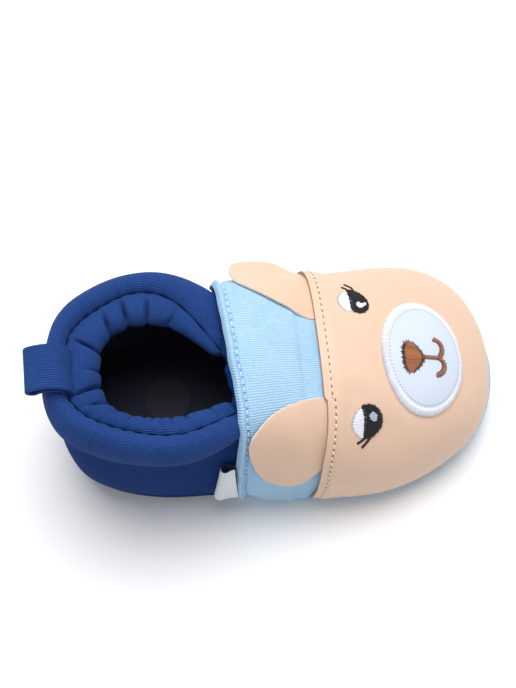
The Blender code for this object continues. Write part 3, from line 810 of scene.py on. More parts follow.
def makeUpper():
    # outside in the darker jersey: painted shade on the quarter
    piece, u, v = addGrid("upperShell", upper["columns"], upper["rows"], quarterShadedJersey, navyLining)
    turn = u * 360 - 180
    under = len(upper["under"])
    rim = lastPoint(turn, 1)
    uneven = upper["lipWave"] * (np.sin(turn / 5.3) + 0.6 * np.sin(turn / 2.9 + 1))
    lip = np.clip(upper["lip"] + uneven + rim[..., 0] - hemX(roundInstep(rim)), *upper["lipRange"])
    lip = lip * (1 - ease(abs(turn), 68, 82)) * risePerMetre(turn)
    rise = np.clip((v * upper["rows"] - under) / (upper["rows"] - under), 0, 1) * (1 + lip)
    droop = upper["lipDroop"] * np.clip((rise - 1) / np.maximum(lip, 1e-6), 0, 1) ** 2 * (lip > 1e-5)
    here = lastPoint(turn, rise)
    covered = ease(here[..., 0] - hemX(roundInstep(here)), *upper["stripEdge"])
    points = skin(turn, rise, quarterSlack(turn, rise) - droop - upper["underStrip"] * covered)
    foot, outward = footLine(turn[0])
    shown = ease(abs(turn[0]), 94, 102)  # ahead of the quarter this stays inside the sole
    for row, (out, up) in enumerate(upper["under"]):
        flat = foot + outward * ((out - 1.5 * (1 - shown)) * mm)[:, None]
        points[row] = withHeight(flat, (up * shown + 1.2 * (1 - shown)) * mm + ground(flat[:, 0]))
    shapeGrid(piece, points, runLength(points, 1).mean(0), runLength(points, 0))
    weld(piece)
    modify(piece, "SOLIDIFY", thickness=upper["thick"], offset=-1, material_offset=1)
    modify(piece, "SUBSURF", levels=1, render_levels=1)
    smooth(piece, 60)
    return dress(piece, "upper")


makeUpper()
print("upper made")


# Face panel: soft coated leather over the toe, with a raw cut edge at the seam
face = {
    "columns": 180,
    "rows": 60,
    "thick": 0.9 * mm,
    "cornerTurns": (30.0, 110.0),
    "stitchBack": 2.2 * mm,  # stitches stand this far ahead of the edge
    "stitchSink": 0.22 * mm,
    "earRoots": ((-66.0, -27.0), (18.0, 60.0)),  # degrees round the instep where the ears go under the edge
    "earRaise": 0.15 * mm,
    "edgeSink": 0.35 * mm,  # the edge is sewn down
    "cheeks": ((54.0, 24.0, 2.5 * mm), (-48.0, 20.0, 1.5 * mm)),  # flatter here: turn, width, depth
    "step": (-28.0, 0.7 * mm),  # the edge steps forward over the near ear, from this angle
    "dents": (  # plan place x, y, radius, depth: cloth pulled in by the sewing
        (20.0 * mm, -13.5 * mm, 3.2 * mm, 0.40 * mm),
        (17.5 * mm, -17.5 * mm, 2.2 * mm, 0.18 * mm),
        (22.5 * mm, -19.5 * mm, 6.0 * mm, 0.25 * mm),
        (22.5 * mm, 14.5 * mm, 6.0 * mm, 0.25 * mm),
        (28.5 * mm, -21.5 * mm, 3.0 * mm, 0.16 * mm),
    ),
}
muzzle = {
    "turn": -6.9,
    "rise": 0.50,
    "length": 26.2 * mm,
    "width": 32.4 * mm,
    "thick": 0.6 * mm,
    "over": 0.25 * mm,  # underside over the face
    "crown": 0.5 * mm,
    "border": (0.890, 1.02),  # satin border, as shares of the radius
    "strands": 230,
    "strandSize": (0.40 * mm, 1.2 * mm),
    "spokes": 96,
    "rings": 22,
    "reach": 0.97,  # the patch ends under its border
    "holes": 84,  # needle holes round the border
    "holeRow": 0.885,
}


def halve(low, high, inFront):
    for _ in range(40):
        middle = (low + high) / 2
        found = inFront(middle)
        low, high = np.where(found, middle, low), np.where(found, high, middle)
    return low


def pastEdge(turn, rise):  # distance ahead of the face's edge
    points = lastPoint(turn, rise)
    around = roundInstep(points)
    start, forward = face["step"]
    step = forward * (1 - ease(around, start - 2, start)) * ease(around, start - 36, start - 6)
    return points[..., 0] - seamX(points[..., 2]) - step


def aheadOfSeam(turn, rise, ahead=0.0):
    return pastEdge(turn, rise) > ahead


def panelCorners():
    sides = np.array([1.0, -1.0])
    low, high = (np.full(2, turn) for turn in face["cornerTurns"])
    return halve(low, high, lambda turn: aheadOfSeam(sides * turn, 0))


def panelReach(turn, ahead=0.0):  # rise at which the seam, or a line ahead of it, crosses this meridian
    return halve(np.zeros_like(turn), np.ones_like(turn), lambda rise: aheadOfSeam(turn, rise, ahead))


muzzleCentre = Vector(skin(muzzle["turn"], muzzle["rise"], shoe["panelTop"]))
muzzleNormal = Vector(lastNormal(muzzle["turn"], muzzle["rise"]))
muzzleAcross = (Vector((0, 1, 0)) - muzzleNormal * muzzleNormal.y).normalized()
muzzleAlong = muzzleAcross.cross(muzzleNormal)


def muzzleRadius(points):  # 1 on the muzzle's outline
    fromCentre = points - np.array(muzzleCentre)
    along = fromCentre @ np.array(muzzleAlong) / (muzzle["length"] / 2)
    across = fromCentre @ np.array(muzzleAcross) / (muzzle["width"] / 2)
    return np.hypot(along, across)


def panelLift(turn, rise):
    here = skin(turn, rise, shoe["panelTop"])
    ahead = pastEdge(turn, rise)
    lift = shoe["panelTop"] - face["stitchSink"] * bump(ahead, face["stitchBack"], 0.6 * mm)
    lift = lift + 0.12 * mm * bump(ahead, face["stitchBack"] + 2.2 * mm, 1.4 * mm)
    lift = lift - face["edgeSink"] * (1 - ease(ahead, 0, 4 * mm))
    around = roundInstep(here)
    for low, high in face["earRoots"]:
        overEar = ease(around, low - 3, low + 1) * (1 - ease(around, high - 1, high + 3))
        lift = lift + face["earRaise"] * overEar * (1 - ease(ahead, 0.5 * mm, 5 * mm))
    for middle, wide, deep in face["cheeks"]:
        lift = lift - deep * bump(turn, middle, wide) * bump(rise, 0.45, 0.30) * ease(ahead, 0, 6 * mm)
    for x, y, radius, depth in face["dents"]:
        lift = lift - depth * bump(np.hypot(here[..., 0] - x, here[..., 1] - y), 0, radius)
    return lift - 0.22 * mm * bump(muzzleRadius(here), 1.03, 0.10)


def makeFacePanel():
    piece, u, v = addGrid("facePanel", face["columns"], face["rows"], peachLeather, peachEdgeShade)
    left, right = panelCorners()
    spread = u * 2 - 1
    share = 1 - (1 - abs(spread)) ** 1.5
    turn = np.where(spread < 0, -right, left) * share
    reach = panelReach(turn[0])
    rise = v * reach
    points = skin(turn, rise, panelLift(turn, rise))
    shapeGrid(piece, points, points[..., 0], girth(points))
    weld(piece)
    # the rim takes the dark edge colour: partly the raw edge's tone, partly painted shade
    modify(piece, "SOLIDIFY", thickness=face["thick"], offset=-1, material_offset_rim=1)
    smooth(piece, 45)
    return dress(piece, "face_panel")


panel = makeFacePanel()
print("face panel made")


# Ears: cut from the same leather, their roots under the edge of the face
ears = {
    "spokes": 120,
    "rings": 16,
    "thick": 0.9 * mm,
    "over": 0.40 * mm,
    "front": 10.5 * mm,  # x that the outlines are measured from
    "tuck": 2.6,  # mm of root ahead of that
    "rootSink": 1.35 * mm,  # sewn down under the face
    "backLimit": -9.0 * mm,
    "crown": 0.35 * mm,
    "length": 20.8,
    "rounding": 3,
    "nearLift": 1.5,  # degrees off the strip
    "nearCentre": (9.0, 50.0),
    "nearOutline": (  # mm behind the face's edge, and degrees round the instep
        (0.0, 27.3), (3.0, 27.0), (6.0, 27.2), (9.0, 28.2), (12.0, 29.9), (15.0, 33.0), (17.6, 37.3),
        (19.7, 41.8), (20.7, 45.8), (20.8, 49.5), (20.4, 53.8), (19.4, 60.5), (17.6, 67.5), (15.2, 73.0),
        (12.2, 76.6), (9.1, 77.0), (6.3, 74.8), (3.6, 71.4), (1.3, 68.0), (0.0, 66.2),
    ),
    "farLift": 18.0,
    "farRoot": (21.3, 60.2),  # degrees, at the two ends of the flap's straight root
    "farCentre": (10.5, 11.5),
    "farOutline": (  # mm behind the edge, and mm along the root
        (0.0, -1.9), (2.9, -1.3), (5.6, 0.0), (9.1, 1.5), (12.0, 3.0), (15.8, 5.0), (19.2, 7.3), (21.2, 10.1),
        (22.2, 13.6), (21.7, 16.8), (19.7, 19.0), (15.9, 21.1), (12.8, 22.1), (10.2, 22.5), (7.6, 22.3),
        (5.2, 21.7), (2.6, 21.3), (0.0, 21.0),
    ),
}


def overStrip(x, degrees, lift):  # top of an ear that lies on the strip, at this x and angle round the instep
    base = max(x, ears["backLimit"])
    body = stuffing(base, degrees, 10 * mm) + ears["over"] + ears["thick"]
    sunk = ears["rootSink"] * ease(base, ears["front"] - 7 * mm, ears["front"])
    reach = onStrip(base, degrees, body - sunk + lift)
    return Vector((x, *reach[1:]))


def nearEarPoint(behind, degrees):
    slope = math.radians(ears["nearLift"])
    out = max(behind, 0) * mm
    share = max(behind, 0) / ears["length"]
    x = ears["front"] - behind * mm * math.cos(slope)
    return overStrip(x, -degrees, out * math.sin(slope) + ears["crown"] * 4 * share * (1 - share))


def farEarPoint(behind, along):  # a flat flap that stands off the strip
    low, high = ears["farRoot"]
    ends = [overStrip(ears["front"], degrees, ears["rootSink"]) for degrees in (low, high)]
    chord = ends[1] - ends[0]
    degrees = low + (high - low) * along * mm / chord.length
    chord.normalize()
    root = overStrip(ears["front"], degrees, 0)
    if behind <= 0:
        return overStrip(root.x - behind * mm, degrees, 0)
    slope = math.radians(ears["farLift"])
    off = Vector((0, -chord.z, chord.y))
    backwards = Vector((-math.cos(slope), 0, 0)) + off * math.sin(slope)
    follow = 1 - float(ease(behind, 0, 9))
    point = root * follow + (ends[0] + chord * along * mm) * (1 - follow) + backwards * (behind * mm)
    away = Vector((0, point.y, point.z - shoe["instepAxis"]))
    clear = overStrip(point.x, math.degrees(math.atan2(away.y, away.z)), 0)
    clear -= Vector((point.x, 0, shoe["instepAxis"]))
    return point + away.normalized() * max(clear.length - away.length, 0)  # never into the strip


def makeEar(name, node, outline, centre, place):
    piece, u, v = addGrid(name, ears["spokes"], ears["rings"], peachLeather, peachCut)
    tuck = [(-ears["tuck"], outline[-1][1] - 0.5), (-ears["tuck"], outline[0][1] + 0.5)]
    line = np.array([*outline, *tuck, outline[0]])
    length = runLength(line, 0)
    around = alongLine(u[0, :-1] * length[-1], length, line)
    for _ in range(ears["rounding"]):
        around = around / 2 + (np.roll(around, 1, axis=0) + np.roll(around, -1, axis=0)) / 4
    around = np.concatenate([around, around[:1]])
    spots = np.array(centre) + (around - np.array(centre)) * v[..., None]
    points = np.array([[place(*spot) for spot in ring] for ring in spots])
    shapeGrid(piece, points, points[..., 0], points[..., 1])
    weld(piece, outwards=True)
    faceUp(piece)
    modify(piece, "SOLIDIFY", thickness=ears["thick"], offset=-1, material_offset_rim=1)
    modify(piece, "BEVEL", width=0.20 * mm, segments=2, limit_method="ANGLE", angle_limit=math.radians(50))
    smooth(piece, 45)
    return dress(piece, node)


makeEar("earFar", "ear_left", ears["farOutline"], ears["farCentre"], farEarPoint)
makeEar("earNear", "ear_right", ears["nearOutline"], ears["nearCentre"], nearEarPoint)
print("ears made")


# Muzzle: a pale smooth patch, sewn on with a satin border
def muzzleFinish():  # with the needle holes of its border, printed as darker dots: painted shade in the holes
    made = leather("muzzleLeather", (0.570, 0.635, 0.760), (0.665, 0.730, 0.845), 0.40, 0.4)
    turn, radius = parts(placeOn(made, "UV"))
    needle = sums("GREATER_THAN", wave(scaled(turn, muzzle["holes"]), 1.0, 0.0), 0.25)
    holes = sums("MULTIPLY", needle, sums("COMPARE", radius, muzzle["holeRow"], 0.012))
    # darker dots on the needle holes: painted shade
    printOver(made, holes, (0.330, 0.360, 0.440))
    return made


panelTree = treeOf(panel)


def onMuzzle(angle, radius, lift):  # a place on the patch, laid on the face
    along, across = math.cos(angle) * muzzle["length"] / 2, math.sin(angle) * muzzle["width"] / 2
    spoke = muzzleAlong * along + muzzleAcross * across
    start = muzzleCentre + spoke * radius + muzzleNormal * (20 * mm)
    return panelTree.ray_cast(start, -muzzleNormal)[0] + muzzleNormal * lift


def makeMuzzle():
    piece, u, v = addGrid("muzzlePatch", muzzle["spokes"], muzzle["rings"], muzzleFinish())
    crown = muzzle["crown"] * (1 - v**2)
    lift = muzzle["over"] + muzzle["thick"] + crown
    points = np.array([
        [onMuzzle(a * 2 * math.pi, b * muzzle["reach"], c) for a, b, c in zip(*line)]
        for line in zip(u, v, lift)
    ])
    shapeGrid(piece, points, u, v)
    weld(piece, outwards=True)
    faceUp(piece)
    modify(piece, "SOLIDIFY", thickness=muzzle["thick"], offset=-1)
    smooth(piece, 60)
    return dress(piece, "muzzle_patch")


muzzlePatch = makeMuzzle()
muzzleTree = treeOf(muzzlePatch)
print("muzzle made")


# Threads: one model, copied for each stitch
def strandModel(name, sides, rings, sink):  # one unit long along X, with ends that dip into the cloth
    bpy.ops.object.select_all(action="DESELECT")
    bpy.ops.mesh.primitive_uv_sphere_add(segments=sides, ring_count=rings, radius=0.5)
    model = bpy.context.object
    model.name = name
    bpy.ops.object.mode_set(mode="EDIT")
    bpy.ops.mesh.select_all(action="SELECT")
    bpy.ops.transform.rotate(value=math.pi / 2, orient_axis="Y", center_override=(0, 0, 0))
    bpy.ops.object.mode_set(mode="OBJECT")
    for point in model.data.vertices:
        x = point.co.x * 2
        fuller = (1 - abs(x) ** 5) ** 0.5 / max((1 - x * x) ** 0.5, 1e-6) if abs(x) < 0.999 else 1
        point.co.y *= fuller
        point.co.z = point.co.z * fuller - sink * x**4
    return model


def laidBetween(start, end, normal, width, height):  # where a strand goes
    run = end - start
    side = normal.cross(run).normalized()
    up = run.cross(side).normalized()
    middle = (start + end) / 2
    return Matrix((
        (run.x, side.x * width, up.x * height, middle.x),
        (run.y, side.y * width, up.y * height, middle.y),
        (run.z, side.z * width, up.z * height, middle.z),
        (0, 0, 0, 1),
    ))


def sewCopies(name, places, finish, sides=6, rings=7, sink=0.6):
    model = strandModel(name, sides, rings, sink)
    copies = []
    for number, place in enumerate(places):
        copy = bpy.data.objects.new(name, model.data.copy())
        copy.data.transform(place)
        copy.data.uv_layers.active.data.foreach_set("uv", np.full(len(copy.data.loops) * 2, 0.01 * number))
        bpy.context.collection.objects.link(copy)
        copies.append(copy)
    bpy.data.objects.remove(model)
    bpy.ops.object.select_all(action="DESELECT")
    for copy in copies:
        copy.select_set(True)
    bpy.context.view_layer.objects.active = copies[0]
    bpy.ops.object.join()
    piece = bpy.context.object
    piece.name = piece.data.name = name
    piece.data.materials.append(finish)
    smooth(piece, 80)
    return dress(piece)


def makeBorder():
    inner, outer = muzzle["border"]
    places = []
    for i in range(muzzle["strands"]):
        angle = 2 * math.pi * i / muzzle["strands"]
        uneven = 0.008 * math.sin(i * 2.4) + 0.006 * math.sin(i * 5.1)
        start = onMuzzle(angle, inner - uneven, muzzle["over"] + muzzle["thick"] + 0.12 * mm)
        end = onMuzzle(angle + 0.012, outer + uneven, 0.05 * mm)
        places.append(laidBetween(start, end, muzzleNormal, *muzzle["strandSize"]))
    return sewCopies("muzzleBorder", places, whiteThread, sink=0.35)


makeBorder()


# Embroidered eyes, nose and mouth: outlines in plan, in mm from the shoe's origin
eyes = {
    "pitch": 0.36 * mm,
    "width": 0.52 * mm,
    "height": 0.46 * mm,
    "longest": 6.5 * mm,
    "whiteEdge": 0.65 * mm,  # length of the short stitches across the edges
    "blackEdge": 0.62 * mm,
    "edgePitch": 0.55 * mm,
    "whiteLift": 0.10 * mm,  # each colour lies over the one before
    "blackLift": 0.26 * mm,
    "shineLift": 0.44 * mm,
    "lashWidth": 0.6 * mm,
    "lashPitch": 0.34 * mm,
    "lashThread": (0.42 * mm, 0.40 * mm),
    "nearWhite": ((21.4, -16.0), (20.3, -16.8), (19.2, -18.0), (18.4, -19.6), (18.1, -21.0), (18.7, -22.3),
                  (19.8, -23.2), (21.0, -23.6), (21.7, -22.4), (22.1, -20.4), (22.3, -18.6), (22.0, -17.0)),
    "nearBlack": ((21.2, -16.0), (22.4, -15.6), (24.2, -15.5), (25.6, -16.2), (26.6, -17.5), (26.8, -19.0),
                  (26.3, -20.6), (25.0, -21.9), (23.6, -23.0), (21.0, -23.7), (21.6, -22.0), (21.9, -19.8),
                  (22.0, -17.8)),
    "nearShine": ((22.8, -18.0), (24.2, -17.1), (25.4, -17.6), (25.8, -18.5), (24.8, -19.5), (23.3, -19.2)),
    "nearLashes": (((22.0, -23.1), (20.7, -24.1), (19.3, -24.8)),
                   ((23.6, -22.8), (22.3, -24.2), (20.5, -25.7))),
    "farWhite": ((21.4, 17.7), (20.1, 17.3), (18.9, 16.2), (18.3, 14.8), (18.7, 13.1), (19.7, 11.6),
                 (21.1, 10.9), (22.2, 11.0), (22.4, 13.0), (22.3, 15.2), (21.9, 16.9)),
    "farBlack": ((21.2, 17.9), (22.6, 18.0), (24.2, 17.4), (25.8, 16.0), (26.8, 14.3), (26.8, 12.2),
                 (25.6, 10.9), (24.1, 10.5), (22.6, 11.0), (21.9, 11.9), (22.0, 13.8), (21.9, 15.8)),
    "farShine": ((22.8, 13.2), (24.0, 14.0), (25.0, 13.3), (26.3, 14.0), (26.4, 13.0), (25.4, 12.2),
                 (24.0, 11.9)),
    "farLashes": (((22.0, 17.6), (21.3, 18.6), (20.1, 19.1)), ((23.4, 17.8), (23.0, 19.0), (21.0, 20.2))),
}
nose = {
    "outline": ((35.6, 1.6), (37.0, 1.7), (38.4, 0.8), (39.6, -0.8), (40.6, -2.2), (40.3, -3.4),
                (39.3, -4.8), (38.0, -6.0), (36.6, -6.9), (35.4, -6.9), (34.8, -5.6), (34.6, -4.0),
                (34.8, -2.4), (34.7, -0.6)),
    "stem": ((40.2, -2.5), (42.6, -2.5), (45.0, -2.4)),
    "lipFar": ((44.2, 3.0), (45.6, 2.7), (46.3, 1.5), (46.4, 0.1), (46.0, -1.2), (45.0, -2.4)),
    "lipNear": ((45.0, -2.4), (46.2, -3.1), (46.5, -4.4), (46.0, -5.9), (45.0, -7.0), (43.6, -7.4)),
    "middle": -2.6 * mm,
    "edge": 1.35 * mm,
    "stemWidth": 0.85 * mm,
    "lipWidth": 1.1 * mm,
    "linePitch": 0.33 * mm,
    "edgeLift": 0.06 * mm,
    "lift": 0.14 * mm,
}


def rounded(outline):  # an outline with its corners cut twice
    points = np.array(outline) * mm
    for _ in range(2):
        after = np.roll(points, -1, axis=0)
        points = np.stack([points * 0.75 + after * 0.25, points * 0.25 + after * 0.75], 1).reshape(-1, 2)
    return points


def fillRows(outline, angle, pitch, longest):  # ends of the stitches that fill an outline, row by row
    c, s = math.cos(math.radians(angle)), math.sin(math.radians(angle))
    spin = np.array(((c, -s), (s, c)))
    points = outline @ spin
    after = np.roll(points, -1, axis=0)
    ends = []
    for row, y in enumerate(np.arange(points[:, 1].min() + pitch / 2, points[:, 1].max(), pitch)):
        crossed = (points[:, 1] <= y) != (after[:, 1] <= y)
        share = (y - points[crossed, 1]) / (after[crossed, 1] - points[crossed, 1])
        xs = np.sort(points[crossed, 0] + share * (after[crossed, 0] - points[crossed, 0]))
        for x0, x1 in zip(xs[::2], xs[1::2]):
            parts = max(1, math.ceil((x1 - x0) / longest))
            cuts = np.linspace(x0, x1, parts + 1)
            cuts[1:-1] += (0.5 if row % 2 else -0.5) * longest * 0.3
            cuts[0] -= 0.12 * mm * math.sin(row * 2.3)
            cuts[-1] += 0.12 * mm * math.cos(row * 1.9)
            ends += [((x, y), (z, y)) for x, z in zip(cuts, cuts[1:])]
    return np.array(ends) @ spin.T


def fanRows(outline, middle, pitch, longest):  # as fillRows, but the rows run together towards the front
    back, front = outline[:, 0].min(), outline[:, 0].max()

    def spreadAt(x):
        return 1.0 - 0.45 * np.clip((x - back) / (front - back), 0, 1)

    level = np.stack([outline[:, 0], middle + (outline[:, 1] - middle) / spreadAt(outline[:, 0])], -1)
    ends = fillRows(level, 0, pitch, longest).reshape(-1, 2)
    ends[:, 1] = middle + (ends[:, 1] - middle) * spreadAt(ends[:, 0])
    return ends.reshape(-1, 2, 2)


def columnRows(path, width, pitch):  # short stitches across a path, as in a satin line
    points = np.array(path) * mm
    points = smoothed(alongLine(np.linspace(0, len(points) - 1, 60), np.arange(len(points)), points), 13)
    length = runLength(points, 0)
    at = np.arange(0, length[-1], pitch)
    middle = alongLine(at, length, points)
    run = unit(alongLine(at, length, np.gradient(points, axis=0)))
    side = np.stack([-run[:, 1], run[:, 0]], -1) + 0.35 * run
    return np.stack([middle - side * width / 2, middle + side * width / 2], 1)


def edgeRows(outline, long, pitch):  # short uneven stitches across an outline
    points = np.concatenate([outline, outline[:1]])
    length = runLength(points, 0)
    at = np.arange(0, length[-1] - pitch / 2, pitch)
    middle = alongLine(at, length, points)
    run = unit(np.roll(middle, -1, axis=0) - np.roll(middle, 1, axis=0))
    uneven = long / 2 * (1 + 0.40 * np.sin(np.arange(len(at)) * 2.4))
    side = np.stack([-run[:, 1], run[:, 0]], -1) * uneven[:, None]
    return np.stack([middle - side, middle + side], 1)


def layRows(ends, tree, lift, size=(eyes["width"], eyes["height"])):  # ends go straight down onto the face
    places = []
    for start, end in ends:
        hits = [tree.ray_cast(Vector((*at, 0.1)), Vector((0, 0, -1)))[:2] for at in (start, end)]
        if None in (hits[0][0], hits[1][0]):
            continue
        normal = (hits[0][1] + hits[1][1]).normalized()
        places.append(laidBetween(*(hit[0] + normal * lift for hit in hits), normal, *size))
    return places


def fillPlaces(outline, angle, tree, lift):
    return layRows(fillRows(rounded(outline), angle, eyes["pitch"], eyes["longest"]), tree, lift)


def edgePlaces(outline, long, tree, lift):
    return layRows(edgeRows(rounded(outline), long, eyes["edgePitch"]), tree, lift)


def makeEyes():
    for side, angle in (("near", 6), ("far", -6)):
        white, black, shine = (eyes[side + part] for part in ("White", "Black", "Shine"))
        edge = edgePlaces(white, eyes["whiteEdge"], panelTree, 0.0)
        sewCopies(side + "EyeEdge", edge, mauveThread)
        places = fillPlaces(white, angle, panelTree, eyes["whiteLift"])
        sewCopies(side + "EyeWhite", places, whiteThread)
        places = fillPlaces(black, -angle, panelTree, eyes["blackLift"])
        places += edgePlaces(black, eyes["blackEdge"], panelTree, eyes["blackLift"])
        for lash in eyes[side + "Lashes"]:
            rows = columnRows(lash, eyes["lashWidth"], eyes["lashPitch"])
            places += layRows(rows, panelTree, eyes["whiteLift"], eyes["lashThread"])
        sewCopies(side + "EyeDark", places, blackThread)
        places = fillPlaces(shine, angle, panelTree, eyes["shineLift"])
        sewCopies(side + "EyeShine", places, greyThread if side == "near" else whiteThread)


def makeNose():
    # the edge layer is dark strands under the nose and mouth: painted shade at their ragged edges
    edge = edgePlaces(nose["outline"], nose["edge"], muzzleTree, nose["edgeLift"])
    rows = fanRows(rounded(nose["outline"]), nose["middle"], eyes["pitch"], eyes["longest"])
    places = layRows(rows, muzzleTree, nose["lift"])
    for part, width in (("stem", "stemWidth"), ("lipFar", "lipWidth"), ("lipNear", "lipWidth")):
        wide = columnRows(nose[part], nose[width] + nose["edge"] * 0.6, 2 * nose["linePitch"])
        edge += layRows(wide, muzzleTree, nose["edgeLift"])
        rows = columnRows(nose[part], nose[width], nose["linePitch"])
        places += layRows(rows, muzzleTree, nose["lift"])
    sewCopies("noseShadeEdge", edge, umberShadeThread)
    sewCopies("noseAndMouth", places, brownThread)


makeEyes()
makeNose()
print("embroidery made")


# Stitch rows on the hem and behind the face
hemRow = {
    "pitch": 2.1 * mm,
    "ends": (-0.97, 0.93),  # shares of the way down to the sole
    "holeLift": 0.0,
    "holeSize": (0.6 * mm, 0.75 * mm, 0.25 * mm),
    "lift": 0.16 * mm,
    "share": 0.86,
    "size": (0.75 * mm, 0.70 * mm),
    "slant": 0.20 * mm,
}
faceRow = {
    "pitch": 2.0 * mm,
    "ends": (-0.985, 0.985),
    "lowest": 0.03,
    "holeLift": 0.13 * mm,
    "holeSize": (0.90 * mm, 0.42 * mm, 0.25 * mm),
    "lift": 0.18 * mm,
    "share": 0.74,
    "size": (0.55 * mm, 0.62 * mm),
    "slant": 0.14 * mm,
}


def spaced(points, pitch):  # indices into a fine line, one pitch apart
    length = runLength(points, 0)
    return np.searchsorted(length, np.arange(0, length[-1], pitch).clip(0, length[-1] - 1e-9))


def stitchPlaces(points, normals, row):
    places = []
    points = points + normals * row["lift"]
    at = spaced(points, row["pitch"])
    for i, j in zip(at, at[1:]):
        start, end, normal = Vector(points[i]), Vector(points[j]), Vector(normals[i])
        side = normal.cross(end - start).normalized() * row["slant"]
        middle = (start + end) / 2
        half = (end - start) * row["share"] / 2
        places.append(laidBetween(middle - half - side, middle + half + side, normal, *row["size"]))
    return places


def holePlaces(points, normals, row):  # dark marks at the needle holes, between one stitch and the next: painted shade of the holes and of the dents beside the stitches
    places = []
    points = points + normals * row["holeLift"]
    length, *size = row["holeSize"]
    for i in spaced(points, row["pitch"])[1:-1]:
        run = Vector(points[i + 1] - points[i - 1]).normalized() * length / 2
        middle = Vector(points[i])
        places.append(laidBetween(middle - run, middle + run, Vector(normals[i]), *size))
    return places


def sewRow(name, points, normals, row, yarn, hole):
    # the needle holes are dark marks laid on the cloth: painted shade
    sewCopies(name + "NeedleHoleShade", holePlaces(points, normals, row), hole, sink=0)
    sewCopies(name + "Stitches", stitchPlaces(points, normals, row), yarn, sides=8, rings=9, sink=0.7)


def makeHemStitches():
    spread = np.linspace(*hemRow["ends"], 1200)
    back = hemX(angleAt(spread, hem["line"][1]))
    x = halve(back, back + 3 * hem["stitchDepth"],
              lambda x: hemDepth(x, angleAt(spread, x)) < hem["stitchDepth"])
    degrees = angleAt(spread, x)
    points = onStrip(x, degrees, stripLift(x, degrees))
    normals = unit(onStrip(x, degrees, 1 * mm) - onStrip(x, degrees, 0))
    sewRow("hem", points, normals, hemRow, skyThread, skyHoleShade)


def makeFaceStitches():
    left, right = panelCorners()
    turn = np.linspace(right * faceRow["ends"][0], left * faceRow["ends"][1], 900)
    rise = panelReach(turn, face["stitchBack"])
    kept = rise > faceRow["lowest"]
    turn, rise = turn[kept], rise[kept]
    points = skin(turn, rise, panelLift(turn, rise))
    sewRow("face", points, lastNormal(turn, rise), faceRow, peachThread, peachHoleShade)


makeHemStitches()
makeFaceStitches()
print("stitch rows made")


# Collar: a padded roll, a deep seam, and the casing gathered by its elastic
collar = {
    "columns": 380,
    "endCap": 3.5 * mm,
    "seamRow": 32,  # rows of the roll's arc, then the seam, then as many for the casing
    "liningRow": 57,
    # shares of the way out from the seam, or in from it to the mouth, and degrees round each arc
    "roll": {"middle": 0.41, "radius": 0.59, "up": 0.50, "half": 0.50, "arc": (-75, 150)},
    "casing": {"middle": 0.42, "radius": 0.58, "up": 0.66, "half": 0.24, "arc": (150, -82)},
    "seamUp": 0.64,
    "seamGap": 0.12 * mm,
    "puff": 0.38 * mm,
    "puffRows": (35, 48),
    "creaseRows": (34, 54),
    "mouthRows": (45, 56),  # the gathers get shallower
    "endRows": (55, 65),  # and end
    "overlap": 0.70 * mm,  # each lobe of the gathers lies over the next
    "rollSlack": 0.22 * mm,
    "pucker": 0.12 * mm,
    "rounding": 21,  # columns averaged, so that the lines run smoothly
}
collarColumns = ("turn", "outX", "outY", "seamX", "seamY", "mouthX", "mouthY", "base", "height")
collarRows = (  # in plan, mm: outside, seam and mouth of the collar, from the far end round the heel
    (103, -6.2, 9.6, -13.4, 0.4, -15.9, 0.4, 37.4, 5.2),
    (106, -8.7, 14.6, -16.0, 4.6, -18.8, 4.2, 37.2, 6.8),
    (109, -12.3, 18.4, -19.1, 8.4, -22.3, 6.5, 37.2, 8.2),
    (113, -17.8, 21.4, -22.5, 13.1, -27.2, 9.7, 37.6, 10.6),
    (119, -24.6, 24.9, -26.9, 17.2, -31.1, 10.5, 38.0, 12.2),
    (125, -32.3, 26.5, -32.8, 19.4, -34.1, 10.6, 38.0, 13.2),
    (133, -40.6, 25.8, -39.0, 19.0, -37.3, 10.4, 37.6, 14.2),
    (142, -47.4, 23.2, -44.5, 16.4, -41.4, 9.4, 37.3, 15.1),
    (153, -54.6, 19.4, -50.8, 12.6, -45.4, 6.4, 37.3, 15.7),
    (166, -60.2, 11.9, -55.3, 7.6, -46.9, 3.2, 37.6, 16.0),
    (179, -63.0, 1.4, -56.6, -1.0, -47.5, -2.1, 37.9, 16.0),
    (191, -63.7, -9.0, -56.8, -8.9, -47.4, -6.9, 37.6, 16.0),
    (200, -60.7, -16.9, -54.1, -13.1, -46.4, -10.8, 37.4, 15.9),
    (207, -55.7, -21.6, -50.5, -16.1, -44.3, -13.3, 37.3, 15.7),
    (217, -48.0, -25.3, -44.7, -18.8, -40.7, -15.0, 37.3, 15.1),
    (227, -40.4, -27.7, -38.1, -21.0, -36.4, -16.1, 37.6, 14.2),
    (238, -31.7, -28.9, -30.8, -22.4, -30.5, -16.6, 38.2, 12.7),
    (245, -24.4, -28.6, -24.9, -21.7, -25.6, -16.4, 38.7, 11.4),
    (252, -17.1, -25.9, -18.7, -19.4, -20.4, -14.8, 39.3, 9.7),
    (258, -12.0, -22.8, -14.0, -16.9, -16.3, -13.1, 39.4, 7.2),
    (262, -8.6, -19.6, -10.6, -15.2, -13.2, -11.7, 38.2, 5.5),
)
gatherColumns = ("turn", "depth", "width", "start", "slant")
